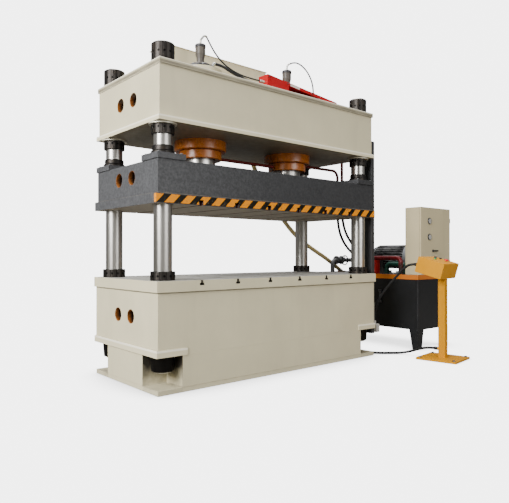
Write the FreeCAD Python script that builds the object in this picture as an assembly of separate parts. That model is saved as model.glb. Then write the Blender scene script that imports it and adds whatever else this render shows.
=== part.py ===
import FreeCAD, Part
import math
import os

os.makedirs("parts", exist_ok=True)

# A four-column hydraulic press with two cylinders, its power unit and its operator's stand.
# Millimetres. X runs along the press, +Y to its back, +Z up. The origin is the middle of
# the bed's foot plate, on the floor.

Vector = FreeCAD.Vector
UP = Vector(0, 0, 1)
EAST = Vector(1, 0, 0)
NORTH = Vector(0, 1, 0)

# Fits
SLIDE_FIT = 0.3            # radial room between pieces that slide or turn in each other
SEAT_FIT = 0.2             # radial room of a fixed piece in its hole or on its thread
FACE_GAP = 0.3             # room between two faces that move past each other

# Columns and their nuts
COLUMN_RADIUS = 80
COLUMN_X = 1305.6
COLUMN_Y = 460.4
COLUMN_CHAMFER = 8
BED_NUT_RADIUS = 106.5
BED_NUT_HEIGHT = 77
FOOT_NUT_HEIGHT = 136
FOOT_NUT_TIP_RADIUS = 96
COLUMN_END = 12            # how far a column stands out of its last nut
CROWN_NUT_RADIUS = 99
CROWN_LOW_NUT_HEIGHT = 82
CROWN_TOP_NUT_HEIGHT = 160
WASHER_RADIUS = 121.5
WASHER_THICK = 12
NUT_GROOVES = 6
NUT_GROOVE_WIDTH = 9
NUT_GROOVE_DEPTH = 6
NUT_EDGE = 4

# Bed; each END and SIDE is how far a plate reaches past the column lines along X and Y
BED_END = 124.4
BED_SIDE = 133.6
FOOT_END = 121.4
FOOT_SIDE = 131.6
FOOT_THICK = 40
TABLE_END = 139.4
TABLE_SIDE = 149.6
TABLE_THICK = 94
TABLE_TOP = 946
LEDGE_END = 138.4
LEDGE_SIDE = 142.6
LEDGE_THICK = 58
LEDGE_TOP = 371
LEDGE_RETURN = 300         # how far a ledge runs along the front and back
NOTCH_END_ROOM = 8.1       # room round a foot nut in its open corner, along X
NOTCH_SIDE_ROOM = 16.9     # the same, along Y

# Slide
FACE_END = 140.4
FACE_SIDE = 132.6
FACE_BOTTOM = 1595
FACE_THICK = 82.5
SLIDE_END = 116.4
SLIDE_SIDE = 116.6
SLIDE_TOP = 1969
FLANGE_END = 126.4
FLANGE_SIDE = 128.6
FLANGE_LENGTH = 279
FLANGE_DEPTH = 272
FLANGE_THICK = 51
SLEEVE_WALL = 12
GUIDE_CAP_HEIGHT = 73
GUIDE_CAP_FOOT_RADIUS = 102.5
GUIDE_CAP_TIP_RADIUS = 91
STRIP_THICK = 2
STRIP_HEIGHT = 70
STRIP_RETURN = 30

# Crown
CROWN_BOTTOM = 2284
CROWN_FLOOR_THICK = 42
CROWN_FLOOR_END = 121.4
CROWN_FLOOR_SIDE = 141.6
CROWN_END = 102.4
CROWN_SIDE = 118.6
CROWN_LID_THICK = 45
CROWN_LID_END = 110.4
CROWN_LID_SIDE = 134.6
CROWN_TOP = 2803

# Plates of the welded boxes
WALL = 30
RIB = 24
LIFT_RADIUS = 62.5         # lifting holes in both ends of bed, slide and crown
LIFT_TUBE_WALL = 12
LIFT_TUBE_LENGTH = 120     # each hole's sleeve ends free inside its box
LIFT_Y = 122
BED_LIFT_Z = 618
SLIDE_LIFT_Z = 1847
CROWN_LIFT_Z = 2542
COLUMN_TUBE_WALL = 24

# T-slots of the bed table and of the slide's face plate
SLOT_PITCH = 400
SLOT_COUNT = 6
SLOT_NECK = 28
SLOT_HEAD = 50
SLOT_NECK_DEPTH = 26
SLOT_HEAD_HEIGHT = 20

# Cylinders
CYLINDER_X = 600
BARREL_RADIUS = 220
BORE_RADIUS = 180
ROD_RADIUS = 150
COLLAR_RADIUS = 258.5
COLLAR_BOTTOM = 2190
BARREL_TOP = 3000
HEAD_THICK = 75
HEAD_PORT_RADIUS = 60
GLAND_RADIUS = 212.5
GLAND_HEIGHT = 84
GLAND_NECK_HEIGHT = 7
GLAND_NECK_RADIUS = 204
PISTON_BOTTOM = 2745
PISTON_HEIGHT = 90
SOCKET_RADIUS = 205
SOCKET_HEIGHT = 45
POCKET_TUBE_WALL = 28

# Prefill valves on the cylinder heads
VALVE_FLANGE_RADIUS = 150
VALVE_FLANGE_THICK = 40
VALVE_FOOT_RADIUS = 100
VALVE_FOOT_THICK = 32
VALVE_NECK_RADIUS = 38
VALVE_BODY_RADIUS = 50
VALVE_CAP_RADIUS = 54
VALVE_HEIGHT = 274

# Overflow tank on the crown
OVERFLOW_LEFT = -850
OVERFLOW_RIGHT = 507
OVERFLOW_FRONT = 255
OVERFLOW_BACK = 555
OVERFLOW_HEIGHT = 495
OVERFLOW_SHEET = 5
OVERFLOW_LID_RIM = 10
OUTLET_INSET = 29          # from the overflow tank's right end to its outlet
OUTLET_REACH = 135         # from its back to the outlet's mouth
OUTLET_MOUTH_DROP = 15     # of the mouth below the crown's top
OUTLET_DROP = 100

# Pipe guard and manifold on the crown
GUARD_LEFT = -30
GUARD_RIGHT = 1030
GUARD_FRONT = -380
GUARD_GAP = 20             # from the guard back to the barrels
GUARD_BACK = -(BARREL_RADIUS + GUARD_GAP)
GUARD_LEFT_HEIGHT = 207
GUARD_RIGHT_HEIGHT = 102
GUARD_SHEET = 6
GUARD_FRONT_PANEL = 300
GUARD_BAND = 34
MANIFOLD_LEFT = 420
MANIFOLD_LENGTH = 280
MANIFOLD_HEIGHT = 92
MANIFOLD_MARGIN = 22

# Sensor post at the right-hand front column
BRACKET_CROWN_RISE = 60    # of the top bracket above the crown's floor plate
BRACKET_DROP = 160         # of the middle one below the bed table
BRACKET_RISE = 40          # of the lowest one above the bed's ledge
POST_GAP = 16              # from the face plate's end to the post
POST_WIDTH = 60
POST_FRONT = -535
POST_BACK = -415
POST_SHEET = 6
POST_BOTTOM = 240
POST_TOP = 2500
BOX_TOP = 345              # top of the cable box on the post
BOX_WIDTH = 60
BOX_HEIGHT = 95
SENSOR_HEIGHTS = [1120, 1304, 1760]
SENSOR_Y = -450
SENSOR_RADIUS = 15
SENSOR_REACH = 12
FLAG_Z = 1747
FLAG_WIDTH = 60
FLAG_THICK = 12

# Oil tank of the power unit
TANK_LEFT = 2100
TANK_RIGHT = 2780
TANK_FRONT = -747
TANK_BACK = 949
LEVEL_SETBACK = 554        # of the oil level glass behind the tank's front
LEVEL_BOTTOM = 560
LEVEL_TOP = 700
LEVEL_GLASS_RADIUS = 10
LEVEL_GLASS_REACH = 16     # of the glass's axis from the tank's wall
LEVEL_END_HALF = 16
LEVEL_END_HEIGHT = 28
FILLER_SETBACK = 90        # from the tank's right side
FILLER_INSET = 389         # from the tank's back
TANK_BOTTOM = 238
TANK_RIM = 857
TANK_SHEET = 8
TANK_LID_THICK = 58
TANK_LID_SHEET = 14
TANK_LID_OVERHANG = 4
LEG_TOP_WIDTH = 125
LEG_FOOT_WIDTH = 80
LEG_THICK = 10

# Motor and pump
MOTOR_X = 2590
MOTOR_Z = 1135
MOTOR_RADIUS = 145
MOTOR_FRONT = -300
MOTOR_BACK = 200
FIN_COUNT = 28
FIN_HEIGHT = 16
FIN_THICK = 6
SHAFT_RADIUS = 24
FAN_COVER_RADIUS = 165
FAN_COVER_LENGTH = 110
FAN_COVER_SHEET = 5
FIN_END = 30               # plain end of the housing before the fins
MOTOR_FOOT_LENGTH = 60
MOTOR_FOOT_HEIGHT = 30
MOTOR_FOOT_STEP = 10       # the foot's web stands back from its pad
TERMINAL_BOX_LIFT = 20     # above the shaft
TERMINAL_BOX_LENGTH = 150
TERMINAL_BOX_HEIGHT = 110
TERMINAL_BOX_RISE = 60
FAN_SLOTS = 16
FAN_BLADES = 8
FAN_HUB_RADIUS = 42
COUPLING_RADIUS = 46
BELL_LENGTH = 78
BELL_RADIUS = 118
PUMP_LENGTH = 180
PUMP_RADIUS = 82
PUMP_PLATE_THICK = 20
PUMP_HEAD_LENGTH = 62
PUMP_HEAD_SIDE = 95
PUMP_PORT_DROP = 60

# Valve block and the pipes on the oil tank
BLOCK_LEFT = 2300
BLOCK_WIDTH = 110
BLOCK_FRONT = -10
BLOCK_BACK = 220
BLOCK_HEIGHT = 205
PORT_Z = 1060
PORT_YS = [160, 100, 40]
FLANGE_BLOCK_X = 2115
FLANGE_BLOCK_LENGTH = 85
FLANGE_BLOCK_Y = -60
FLANGE_BLOCK_WIDTH = 96
FLANGE_BLOCK_HEIGHT = 179
RED_LINE_RADIUS = 28
RED_LINE_END = 160         # from the motor's front back to where the red line goes down
GREEN_LINE_RADIUS = 30
GREEN_LINE_X = 320         # from the motor's line to the green line
GREEN_LINE_RISE = 128
GREEN_LINE_LENGTH = 285
GREEN_LINE_FRONT = 155     # from the motor's front to the green line's front end
SHUTOFF_X = 2315
SHUTOFF_Y = 700
SHUTOFF_Z = 1085
SHUTOFF_LENGTH = 120
SUCTION_RADIUS = 30
SHUTOFF_FLANGE_RADIUS = 62
BONNET_LENGTH = 84
STEM_RADIUS = 9
WHEEL_RADIUS = 73
WHEEL_GAP = 28             # from the bonnet's end to the wheel's middle
RIM_RADIUS = 8

# Control cabinet
CABINET_LEFT = 2166
CABINET_RIGHT = 2840
CABINET_FRONT = -747
CABINET_BACK = -522
CABINET_HEIGHT = 840
CABINET_SHEET = 3
DOOR_THICK = 22
METER_RADIUS = 42
METER_LIP = 6
METER_FACE_THICK = 9
METER_DEPTH = 40
METER_SETBACK = 190        # from the cabinet's left side
METER_HEIGHTS = [670, 470]
LATCH_SETBACK = 265        # from the cabinet's left side
LATCH_HEIGHT = 297
LATCH_SHAFT_RADIUS = 10

# Operator's stand
STAND_X = 1827
STAND_Y = -1238
STAND_TURN = 8.5
STAND_PLATE_WIDTH = 424
STAND_PLATE_DEPTH = 450
STAND_PLATE_THICK = 20
STAND_POST_SIDE = 80
CONSOLE_WIDTH = 420
CONSOLE_DEPTH = 305
CONSOLE_HEIGHT = 174
CONSOLE_SHIFT = 66
CONSOLE_Z = 1020
CONSOLE_TILT = 15.6

# Pipes and hoses
PIPE_RADIUS = 17
PIPE_BEND = 90
HOSE_DIAMETER = 32
FERRULE_RADIUS = 23
FERRULE_LENGTH = 70
RETURN_DIAMETER = 58
PILOT_DIAMETER = 16
FEED_DIAMETER = 30
CONSOLE_CABLE_DIAMETER = 28
FLOOR_CABLE_DIAMETER = 27
GLAND_FIT_RADIUS = 18
PILOT_END_RADIUS = 13
FEED_END_RADIUS = 21
NECK_RADIUS = 10
NECK_RISE = 52
NECK_REACH = 26
NECK_BEND = 20
NECK_NUT_RADIUS = 19
NECK_NUT_HEIGHT = 14
FEED_ELBOW = 25
GUARD_REACH = 56
PIPE_DROP_GAP = 74         # from the face plate's end to the dropping pipes
PIPE_DROP_END = 1900
PIPE_DROP_YS = [-36, -208] # clear of the ways in to the lifting holes
PIPE_TURNS = [155.6, 125.6] # how far before the column line each pipe turns
PIPE_KNEE = 150            # how far before its drop it turns back
PIPE_PAIR = 50             # between the two pipes at the manifold
PORT_PIPE_Y = 36
PORT_PIPE_Z = 2215
TOP_PIPE_RISE = 47         # of the two top pipes above the crown


# ---------------------------------------------------------------- tools of the trade

def block(x0, x1, y0, y1, z0, z1):
    """A box between two opposite corners, given in any order."""
    corner = Vector(min(x0, x1), min(y0, y1), min(z0, z1))
    return Part.makeBox(abs(x1 - x0), abs(y1 - y0), abs(z1 - z0), corner)


def centred_block(half_x, half_y, z0, z1):
    """A box about the Z axis."""
    return block(-half_x, half_x, -half_y, half_y, z0, z1)


def rod(start, direction, length, radius):
    """A round bar."""
    return Part.makeCylinder(radius, length, start, direction)


def tube(start, direction, length, outer, inner):
    """A round bar with a bore right through it."""
    return rod(start, direction, length, outer).cut(rod(start, direction, length, inner))


def fuse(shapes):
    """One solid of several that meet."""
    joined = shapes[0].multiFuse(shapes[1:])
    return joined.removeSplitter()


def turned(profile, start, direction=UP):
    """A profile of (radius, height) corners, turned about an axis from start."""
    corners = [Vector(radius, 0, height) for radius, height in profile]
    outline = Part.makePolygon(corners + corners[:1])
    solid = Part.Face(outline).revolve(Vector(0, 0, 0), UP, 360)
    return placed(solid, start, direction)


def placed(shape, start, direction=UP):
    """A copy of a shape with its Z axis laid along direction and its origin at start."""
    moved = shape.copy()
    moved.Placement = FreeCAD.Placement(start, FreeCAD.Rotation(UP, direction))
    return moved


def extruded(corners, travel):
    """A flat outline pushed along travel."""
    outline = Part.makePolygon(corners + corners[:1])
    return Part.Face(outline).extrude(travel)


def softened(shape, direction, radius):
    """A shape with its straight edges along direction rounded."""
    edges = []
    for edge in shape.Edges:
        if isinstance(edge.Curve, Part.Line) and abs(edge.tangentAt(0).dot(direction)) > 0.999:
            edges.append(edge)
    return shape.makeFillet(radius, edges)


def four_corners(x, y):
    """The four places (+-x, +-y)."""
    return [(side * x, end * y) for side in (-1, 1) for end in (-1, 1)]


def slot_places():
    """The X of each T-slot."""
    first = -SLOT_PITCH * (SLOT_COUNT - 1) / 2
    return [first + index * SLOT_PITCH for index in range(SLOT_COUNT)]


def write(name, shapes):
    """Store one node, as one solid or as a group of separate solids."""
    shape = shapes[0] if len(shapes) == 1 else Part.makeCompound(shapes)
    shape.exportStep("parts/" + name + ".step")


def bent_path(points, radii):
    """Straight runs through points, joined by tangent arcs of the given radii."""
    edges = []
    here = points[0]
    for index in range(1, len(points) - 1):
        corner = points[index]
        inward = (corner - points[index - 1]).normalize()
        outward = (points[index + 1] - corner).normalize()
        half_turn = inward.getAngle(outward) / 2
        reach = radii[index - 1] * math.tan(half_turn)
        start = corner - inward * reach
        end = corner + outward * reach
        bisector = (outward - inward).normalize()
        centre = corner + bisector * (radii[index - 1] / math.cos(half_turn))
        middle = centre - bisector * radii[index - 1]
        edges.append(Part.LineSegment(here, start).toShape())
        edges.append(Part.Arc(start, middle, end).toShape())
        here = end
    edges.append(Part.LineSegment(here, points[-1]).toShape())
    return Part.Wire(edges)


def swept(path, direction, radius):
    """A round section carried along a path."""
    start = path.OrderedVertexes[0].Point
    section = Part.Wire([Part.Circle(start, direction, radius).toShape()])
    return path.makePipeShell([section], True, False)


def pipe(points, radius, bend):
    """A steel pipe with one bend radius."""
    path = bent_path(points, [bend] * (len(points) - 2))
    return swept(path, points[1] - points[0], radius)


def free_run(name, points, diameter):
    """A hose or cable: each arc is as large as its two runs allow."""
    radii = []
    for index in range(1, len(points) - 1):
        before = points[index] - points[index - 1]
        after = points[index + 1] - points[index]
        shorter = min(before.Length, after.Length)
        radii.append(0.45 * shorter / math.tan(before.getAngle(after) / 2))
    path = bent_path(points, radii)
    solid = swept(path, points[1] - points[0], diameter / 2)
    expected = math.pi * diameter ** 2 / 4 * path.Length
    print(name, "length", round(path.Length), "radii", [round(radius) for radius in radii])
    print(name, "volume against section times length", round(solid.Volume / expected, 4))
    write(name, [solid])


# ---------------------------------------------------------------- worked out from the above

BED_HALF_LENGTH = COLUMN_X + BED_END
BED_HALF_DEPTH = COLUMN_Y + BED_SIDE
FOOT_HALF_LENGTH = COLUMN_X + FOOT_END
FOOT_HALF_DEPTH = COLUMN_Y + FOOT_SIDE
TABLE_HALF_LENGTH = COLUMN_X + TABLE_END
TABLE_HALF_DEPTH = COLUMN_Y + TABLE_SIDE
LEDGE_HALF_LENGTH = COLUMN_X + LEDGE_END
LEDGE_HALF_DEPTH = COLUMN_Y + LEDGE_SIDE
FACE_HALF_LENGTH = COLUMN_X + FACE_END
FACE_HALF_DEPTH = COLUMN_Y + FACE_SIDE
SLIDE_HALF_LENGTH = COLUMN_X + SLIDE_END
SLIDE_HALF_DEPTH = COLUMN_Y + SLIDE_SIDE
FLANGE_HALF_LENGTH = COLUMN_X + FLANGE_END
FLANGE_HALF_DEPTH = COLUMN_Y + FLANGE_SIDE
CROWN_FLOOR_HALF_LENGTH = COLUMN_X + CROWN_FLOOR_END
CROWN_FLOOR_HALF_DEPTH = COLUMN_Y + CROWN_FLOOR_SIDE
CROWN_HALF_LENGTH = COLUMN_X + CROWN_END
CROWN_HALF_DEPTH = COLUMN_Y + CROWN_SIDE
CROWN_LID_HALF_LENGTH = COLUMN_X + CROWN_LID_END
CROWN_LID_HALF_DEPTH = COLUMN_Y + CROWN_LID_SIDE
TABLE_BOTTOM = TABLE_TOP - TABLE_THICK
LEDGE_BOTTOM = LEDGE_TOP - LEDGE_THICK
FACE_TOP = FACE_BOTTOM + FACE_THICK
FLANGE_TOP = SLIDE_TOP + FLANGE_THICK
CROWN_LID_BOTTOM = CROWN_TOP - CROWN_LID_THICK
CROWN_FLOOR_TOP = CROWN_BOTTOM + CROWN_FLOOR_THICK
COLUMN_BOTTOM = LEDGE_BOTTOM - FOOT_NUT_HEIGHT - COLUMN_END
COLUMN_TOP = CROWN_TOP + CROWN_TOP_NUT_HEIGHT + COLUMN_END
SLEEVE_RADIUS = COLUMN_RADIUS + SLIDE_FIT + SLEEVE_WALL
SLEEVE_HOLE = SLEEVE_RADIUS + SEAT_FIT
COLUMN_HOLE = COLUMN_RADIUS + SEAT_FIT
COLUMN_PLACES = four_corners(COLUMN_X, COLUMN_Y)
CYLINDER_PLACES = [-CYLINDER_X, CYLINDER_X]
NOTCH_X = COLUMN_X - BED_NUT_RADIUS - NOTCH_END_ROOM
NOTCH_Y = COLUMN_Y - BED_NUT_RADIUS - NOTCH_SIDE_ROOM
POST_X = FACE_HALF_LENGTH + POST_GAP
PIPE_DROP_X = FACE_HALF_LENGTH + PIPE_DROP_GAP
DECK = TANK_RIM + TANK_LID_THICK
TOP_PIPE_Z = CROWN_TOP + TOP_PIPE_RISE
METER_X = CABINET_LEFT + METER_SETBACK
LATCH_X = CABINET_LEFT + LATCH_SETBACK


# ---------------------------------------------------------------- welded boxes

def mirrored(places):
    """Places on both sides of the middle, with one in the middle."""
    return [-place for place in reversed(places)] + [0] + places


def cells(ribs, half_depth, z0, z1):
    """The empty cells of a welded box between its cross ribs, walls and middle web."""
    hollow = []
    for left, right in zip(ribs[:-1], ribs[1:]):
        for side in (-1, 1):
            near = side * RIB / 2
            far = side * (half_depth - WALL)
            hollow.append(block(left + RIB / 2, right - RIB / 2, near, far, z0, z1))
    return hollow


def lifting_bars(end_x, z, radius):
    """Round bars on the lifting holes of both ends, as long as their sleeves."""
    bars = []
    for side, y in four_corners(1, LIFT_Y):
        bars.append(rod(Vector(side * end_x, y, z), EAST * -side, LIFT_TUBE_LENGTH, radius))
    return bars


def column_bars(z0, z1, radius):
    """Round bars on the four column axes."""
    return [rod(Vector(x, y, z0), UP, z1 - z0, radius) for x, y in COLUMN_PLACES]


def cylinder_bars(z0, z1, radius):
    """Round bars on the two cylinder axes."""
    return [rod(Vector(x, 0, z0), UP, z1 - z0, radius) for x in CYLINDER_PLACES]


def bed_ribs():
    """The X of the bed's cross ribs, the middle one included."""
    end_rib = NOTCH_X - RIB / 2
    return mirrored([end_rib / 3, end_rib * 2 / 3, end_rib])


def make_bed():
    """The upper part of the welded bed: walls, ribs and the ledges over the open corners."""
    body = centred_block(BED_HALF_LENGTH, BED_HALF_DEPTH, LEDGE_BOTTOM, TABLE_BOTTOM)
    end = BED_HALF_LENGTH - WALL
    wall_y = BED_HALF_DEPTH - WALL
    hollow = cells(bed_ribs(), BED_HALF_DEPTH, LEDGE_BOTTOM, TABLE_BOTTOM)
    for side, half in four_corners(1, 1):
        web = half * RIB / 2
        hollow.append(block(side * NOTCH_X, side * end, web, half * wall_y, LEDGE_TOP, TABLE_BOTTOM))
    keep = lifting_bars(BED_HALF_LENGTH, BED_LIFT_Z, LIFT_RADIUS + LIFT_TUBE_WALL)
    keep += column_bars(LEDGE_TOP, TABLE_BOTTOM, COLUMN_HOLE + COLUMN_TUBE_WALL)
    pieces = [body.cut(Part.makeCompound(hollow).cut(keep))]
    for side in (-1, 1):
        near = side * (LEDGE_HALF_LENGTH - LEDGE_RETURN)
        far = side * LEDGE_HALF_LENGTH
        pieces.append(block(near, far, -LEDGE_HALF_DEPTH, LEDGE_HALF_DEPTH, LEDGE_BOTTOM, LEDGE_TOP))
    drills = lifting_bars(BED_HALF_LENGTH, BED_LIFT_Z, LIFT_RADIUS)
    drills += column_bars(LEDGE_BOTTOM, TABLE_BOTTOM, COLUMN_HOLE)
    return fuse(pieces).cut(drills)


def make_bed_foot():
    """The lower part of the same weldment: foot plate and walls between the open corners."""
    body = centred_block(BED_HALF_LENGTH, BED_HALF_DEPTH, FOOT_THICK, LEDGE_BOTTOM)
    cuts = cells(bed_ribs(), BED_HALF_DEPTH, FOOT_THICK, LEDGE_BOTTOM)
    end = BED_HALF_LENGTH - WALL
    for side, half in four_corners(1, 1):
        web = half * RIB / 2
        wall_y = half * (NOTCH_Y - WALL)
        cuts.append(block(side * NOTCH_X, side * end, web, wall_y, FOOT_THICK, LEDGE_BOTTOM))
        far_x = side * BED_HALF_LENGTH
        far_y = half * BED_HALF_DEPTH
        cuts.append(block(side * NOTCH_X, far_x, half * NOTCH_Y, far_y, FOOT_THICK, LEDGE_BOTTOM))
    foot = centred_block(FOOT_HALF_LENGTH, FOOT_HALF_DEPTH, 0, FOOT_THICK)
    return fuse([body.cut(cuts), foot])


def t_slots(face, inward, half_depth):
    """The T-slots cut into a face, open at front and back; inward is -1 or 1 along Z."""
    slots = []
    neck_end = face + inward * SLOT_NECK_DEPTH
    head_end = neck_end + inward * SLOT_HEAD_HEIGHT
    for x in slot_places():
        slots.append(block(x - SLOT_NECK / 2, x + SLOT_NECK / 2, -half_depth, half_depth, face, neck_end))
        slots.append(block(x - SLOT_HEAD / 2, x + SLOT_HEAD / 2, -half_depth, half_depth, neck_end, head_end))
    return slots


def make_table():
    """The bed's machined table plate."""
    plate = centred_block(TABLE_HALF_LENGTH, TABLE_HALF_DEPTH, TABLE_BOTTOM, TABLE_TOP)
    slots = t_slots(TABLE_TOP, -1, TABLE_HALF_DEPTH)
    return plate.cut(slots + column_bars(TABLE_BOTTOM, TABLE_TOP, COLUMN_HOLE))


def make_crown():
    """The welded crown: floor plate, walls, ribs and the pockets that hold the cylinders."""
    body = centred_block(CROWN_HALF_LENGTH, CROWN_HALF_DEPTH, CROWN_FLOOR_TOP, CROWN_LID_BOTTOM)
    column_rib = COLUMN_X - COLUMN_RADIUS - RIB * 3
    pocket = BARREL_RADIUS + SEAT_FIT + POCKET_TUBE_WALL
    ribs = mirrored([CYLINDER_X - pocket - RIB, CYLINDER_X + pocket + RIB, column_rib])
    ribs = [RIB / 2 + WALL - CROWN_HALF_LENGTH - RIB] + ribs + [CROWN_HALF_LENGTH - WALL + RIB / 2]
    hollow = cells(ribs, CROWN_HALF_DEPTH, CROWN_FLOOR_TOP, CROWN_LID_BOTTOM)
    keep = lifting_bars(CROWN_HALF_LENGTH, CROWN_LIFT_Z, LIFT_RADIUS + LIFT_TUBE_WALL)
    keep += column_bars(CROWN_FLOOR_TOP, CROWN_LID_BOTTOM, COLUMN_HOLE + COLUMN_TUBE_WALL)
    keep += cylinder_bars(CROWN_FLOOR_TOP, CROWN_LID_BOTTOM, pocket)
    body = body.cut(Part.makeCompound(hollow).cut(keep))
    floor = centred_block(CROWN_FLOOR_HALF_LENGTH, CROWN_FLOOR_HALF_DEPTH, CROWN_BOTTOM, CROWN_FLOOR_TOP)
    drills = lifting_bars(CROWN_HALF_LENGTH, CROWN_LIFT_Z, LIFT_RADIUS)
    drills += column_bars(CROWN_BOTTOM, CROWN_LID_BOTTOM, COLUMN_HOLE)
    drills += cylinder_bars(CROWN_BOTTOM, CROWN_LID_BOTTOM, BARREL_RADIUS + SEAT_FIT)
    return fuse([body, floor]).cut(drills)


def make_crown_lid():
    """The crown's top plate, which the columns and cylinders pass through."""
    plate = centred_block(CROWN_LID_HALF_LENGTH, CROWN_LID_HALF_DEPTH, CROWN_LID_BOTTOM, CROWN_TOP)
    drills = column_bars(CROWN_LID_BOTTOM, CROWN_TOP, COLUMN_HOLE)
    drills += cylinder_bars(CROWN_LID_BOTTOM, CROWN_TOP, BARREL_RADIUS + SEAT_FIT)
    return plate.cut(drills)


def make_slide():
    """The welded slide, open below where its face plate closes it, with the rod sockets."""
    body = centred_block(SLIDE_HALF_LENGTH, SLIDE_HALF_DEPTH, FACE_TOP, SLIDE_TOP)
    column_rib = COLUMN_X - SLEEVE_HOLE - COLUMN_TUBE_WALL - RIB
    rod_rib = ROD_RADIUS + RIB
    ribs = mirrored([CYLINDER_X - rod_rib, CYLINDER_X, CYLINDER_X + rod_rib, column_rib])
    ribs = [RIB / 2 + WALL - SLIDE_HALF_LENGTH - RIB] + ribs + [SLIDE_HALF_LENGTH - WALL + RIB / 2]
    hollow = cells(ribs, SLIDE_HALF_DEPTH, FACE_TOP, SLIDE_TOP - WALL)
    keep = lifting_bars(SLIDE_HALF_LENGTH, SLIDE_LIFT_Z, LIFT_RADIUS + LIFT_TUBE_WALL)
    keep += column_bars(FACE_TOP, SLIDE_TOP - WALL, SLEEVE_HOLE + COLUMN_TUBE_WALL)
    body = body.cut(Part.makeCompound(hollow).cut(keep))
    pieces = [body]
    for x in CYLINDER_PLACES:
        pieces.append(tube(Vector(x, 0, SLIDE_TOP), UP, SOCKET_HEIGHT, SOCKET_RADIUS, ROD_RADIUS + SEAT_FIT))
    drills = lifting_bars(SLIDE_HALF_LENGTH, SLIDE_LIFT_Z, LIFT_RADIUS)
    drills += column_bars(FACE_TOP, SLIDE_TOP, SLEEVE_HOLE)
    return fuse(pieces).cut(drills)


def make_face_plate():
    """The slide's machined face plate."""
    plate = centred_block(FACE_HALF_LENGTH, FACE_HALF_DEPTH, FACE_BOTTOM, FACE_TOP)
    slots = t_slots(FACE_BOTTOM, 1, FACE_HALF_DEPTH)
    return plate.cut(slots + column_bars(FACE_BOTTOM, FACE_TOP, SLEEVE_HOLE))


def make_warning_strip():
    """The thin striped band round the front edge of the face plate."""
    middle = (FACE_BOTTOM + FACE_TOP) / 2
    low = middle - STRIP_HEIGHT / 2
    high = middle + STRIP_HEIGHT / 2
    back = STRIP_RETURN - FACE_HALF_DEPTH
    front = -FACE_HALF_DEPTH - STRIP_THICK
    outer = FACE_HALF_LENGTH + STRIP_THICK
    band = block(-outer, outer, front, back, low, high)
    band = band.cut(block(-FACE_HALF_LENGTH, FACE_HALF_LENGTH, -FACE_HALF_DEPTH, back, low, high))
    slot_top = FACE_BOTTOM + SLOT_NECK_DEPTH + SLOT_HEAD_HEIGHT
    half = SLOT_HEAD / 2
    notches = [block(x - half, x + half, front, back, low, slot_top) for x in slot_places()]
    return band.cut(notches)


# ---------------------------------------------------------------- columns, nuts and guides

def make_column(x, y):
    """One column: a plain ground bar with chamfered ends."""
    height = COLUMN_TOP - COLUMN_BOTTOM
    inner = COLUMN_RADIUS - COLUMN_CHAMFER
    profile = [
        (0, 0),
        (inner, 0),
        (COLUMN_RADIUS, COLUMN_CHAMFER),
        (COLUMN_RADIUS, height - COLUMN_CHAMFER),
        (inner, height),
        (0, height),
    ]
    return turned(profile, Vector(x, y, COLUMN_BOTTOM))


def make_nut(foot, height, radius, tip_radius):
    """A round nut with upright grooves for its spanner."""
    edge = NUT_EDGE
    profile = [
        (COLUMN_HOLE, 0),
        (tip_radius - edge, 0),
        (tip_radius, edge),
        (radius, height - edge),
        (radius - edge, height),
        (COLUMN_HOLE, height),
    ]
    nut = turned(profile, foot)
    cuts = []
    for index in range(NUT_GROOVES):
        half = NUT_GROOVE_WIDTH / 2
        groove = block(radius - NUT_GROOVE_DEPTH, radius + NUT_GROOVE_DEPTH, -half, half, 0, height)
        groove.rotate(Vector(0, 0, 0), UP, 360 * index / NUT_GROOVES)
        groove.translate(foot)
        cuts.append(groove)
    return nut.cut(cuts)


def make_guide_sleeve(x, y):
    """A guide sleeve through the slide, with its tapered cap on the corner flange."""
    bore = COLUMN_RADIUS + SLIDE_FIT
    shelf = FLANGE_TOP - FACE_BOTTOM
    top = shelf + GUIDE_CAP_HEIGHT
    profile = [
        (bore, FACE_GAP),
        (SLEEVE_RADIUS, FACE_GAP),
        (SLEEVE_RADIUS, shelf),
        (GUIDE_CAP_FOOT_RADIUS, shelf),
        (GUIDE_CAP_FOOT_RADIUS, shelf + GUIDE_CAP_HEIGHT * 0.3),
        (GUIDE_CAP_TIP_RADIUS, shelf + GUIDE_CAP_HEIGHT * 0.45),
        (GUIDE_CAP_TIP_RADIUS, top - COLUMN_CHAMFER),
        (GUIDE_CAP_TIP_RADIUS - COLUMN_CHAMFER / 2, top),
        (bore, top),
    ]
    return turned(profile, Vector(x, y, FACE_BOTTOM))


def make_guide_flange(side, half):
    """One corner plate on the slide, round a column."""
    near_x = side * (FLANGE_HALF_LENGTH - FLANGE_LENGTH)
    near_y = half * (FLANGE_HALF_DEPTH - FLANGE_DEPTH)
    plate = block(near_x, side * FLANGE_HALF_LENGTH, near_y, half * FLANGE_HALF_DEPTH, SLIDE_TOP, FLANGE_TOP)
    place = Vector(side * COLUMN_X, half * COLUMN_Y, SLIDE_TOP)
    return plate.cut(rod(place, UP, FLANGE_THICK, SLEEVE_HOLE))


# ---------------------------------------------------------------- cylinders and valves

def make_barrel(x):
    """A cylinder barrel with its collar under the crown and its closed head."""
    collar_top = CROWN_BOTTOM - COLLAR_BOTTOM
    top = BARREL_TOP - COLLAR_BOTTOM
    edge = GLAND_NECK_HEIGHT
    profile = [
        (BORE_RADIUS, 0),
        (COLLAR_RADIUS - edge, 0),
        (COLLAR_RADIUS, edge),
        (COLLAR_RADIUS, collar_top),
        (BARREL_RADIUS, collar_top),
        (BARREL_RADIUS, top),
        (HEAD_PORT_RADIUS, top),
        (HEAD_PORT_RADIUS, top - HEAD_THICK),
        (BORE_RADIUS, top - HEAD_THICK),
    ]
    return turned(profile, Vector(x, 0, COLLAR_BOTTOM))


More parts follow.
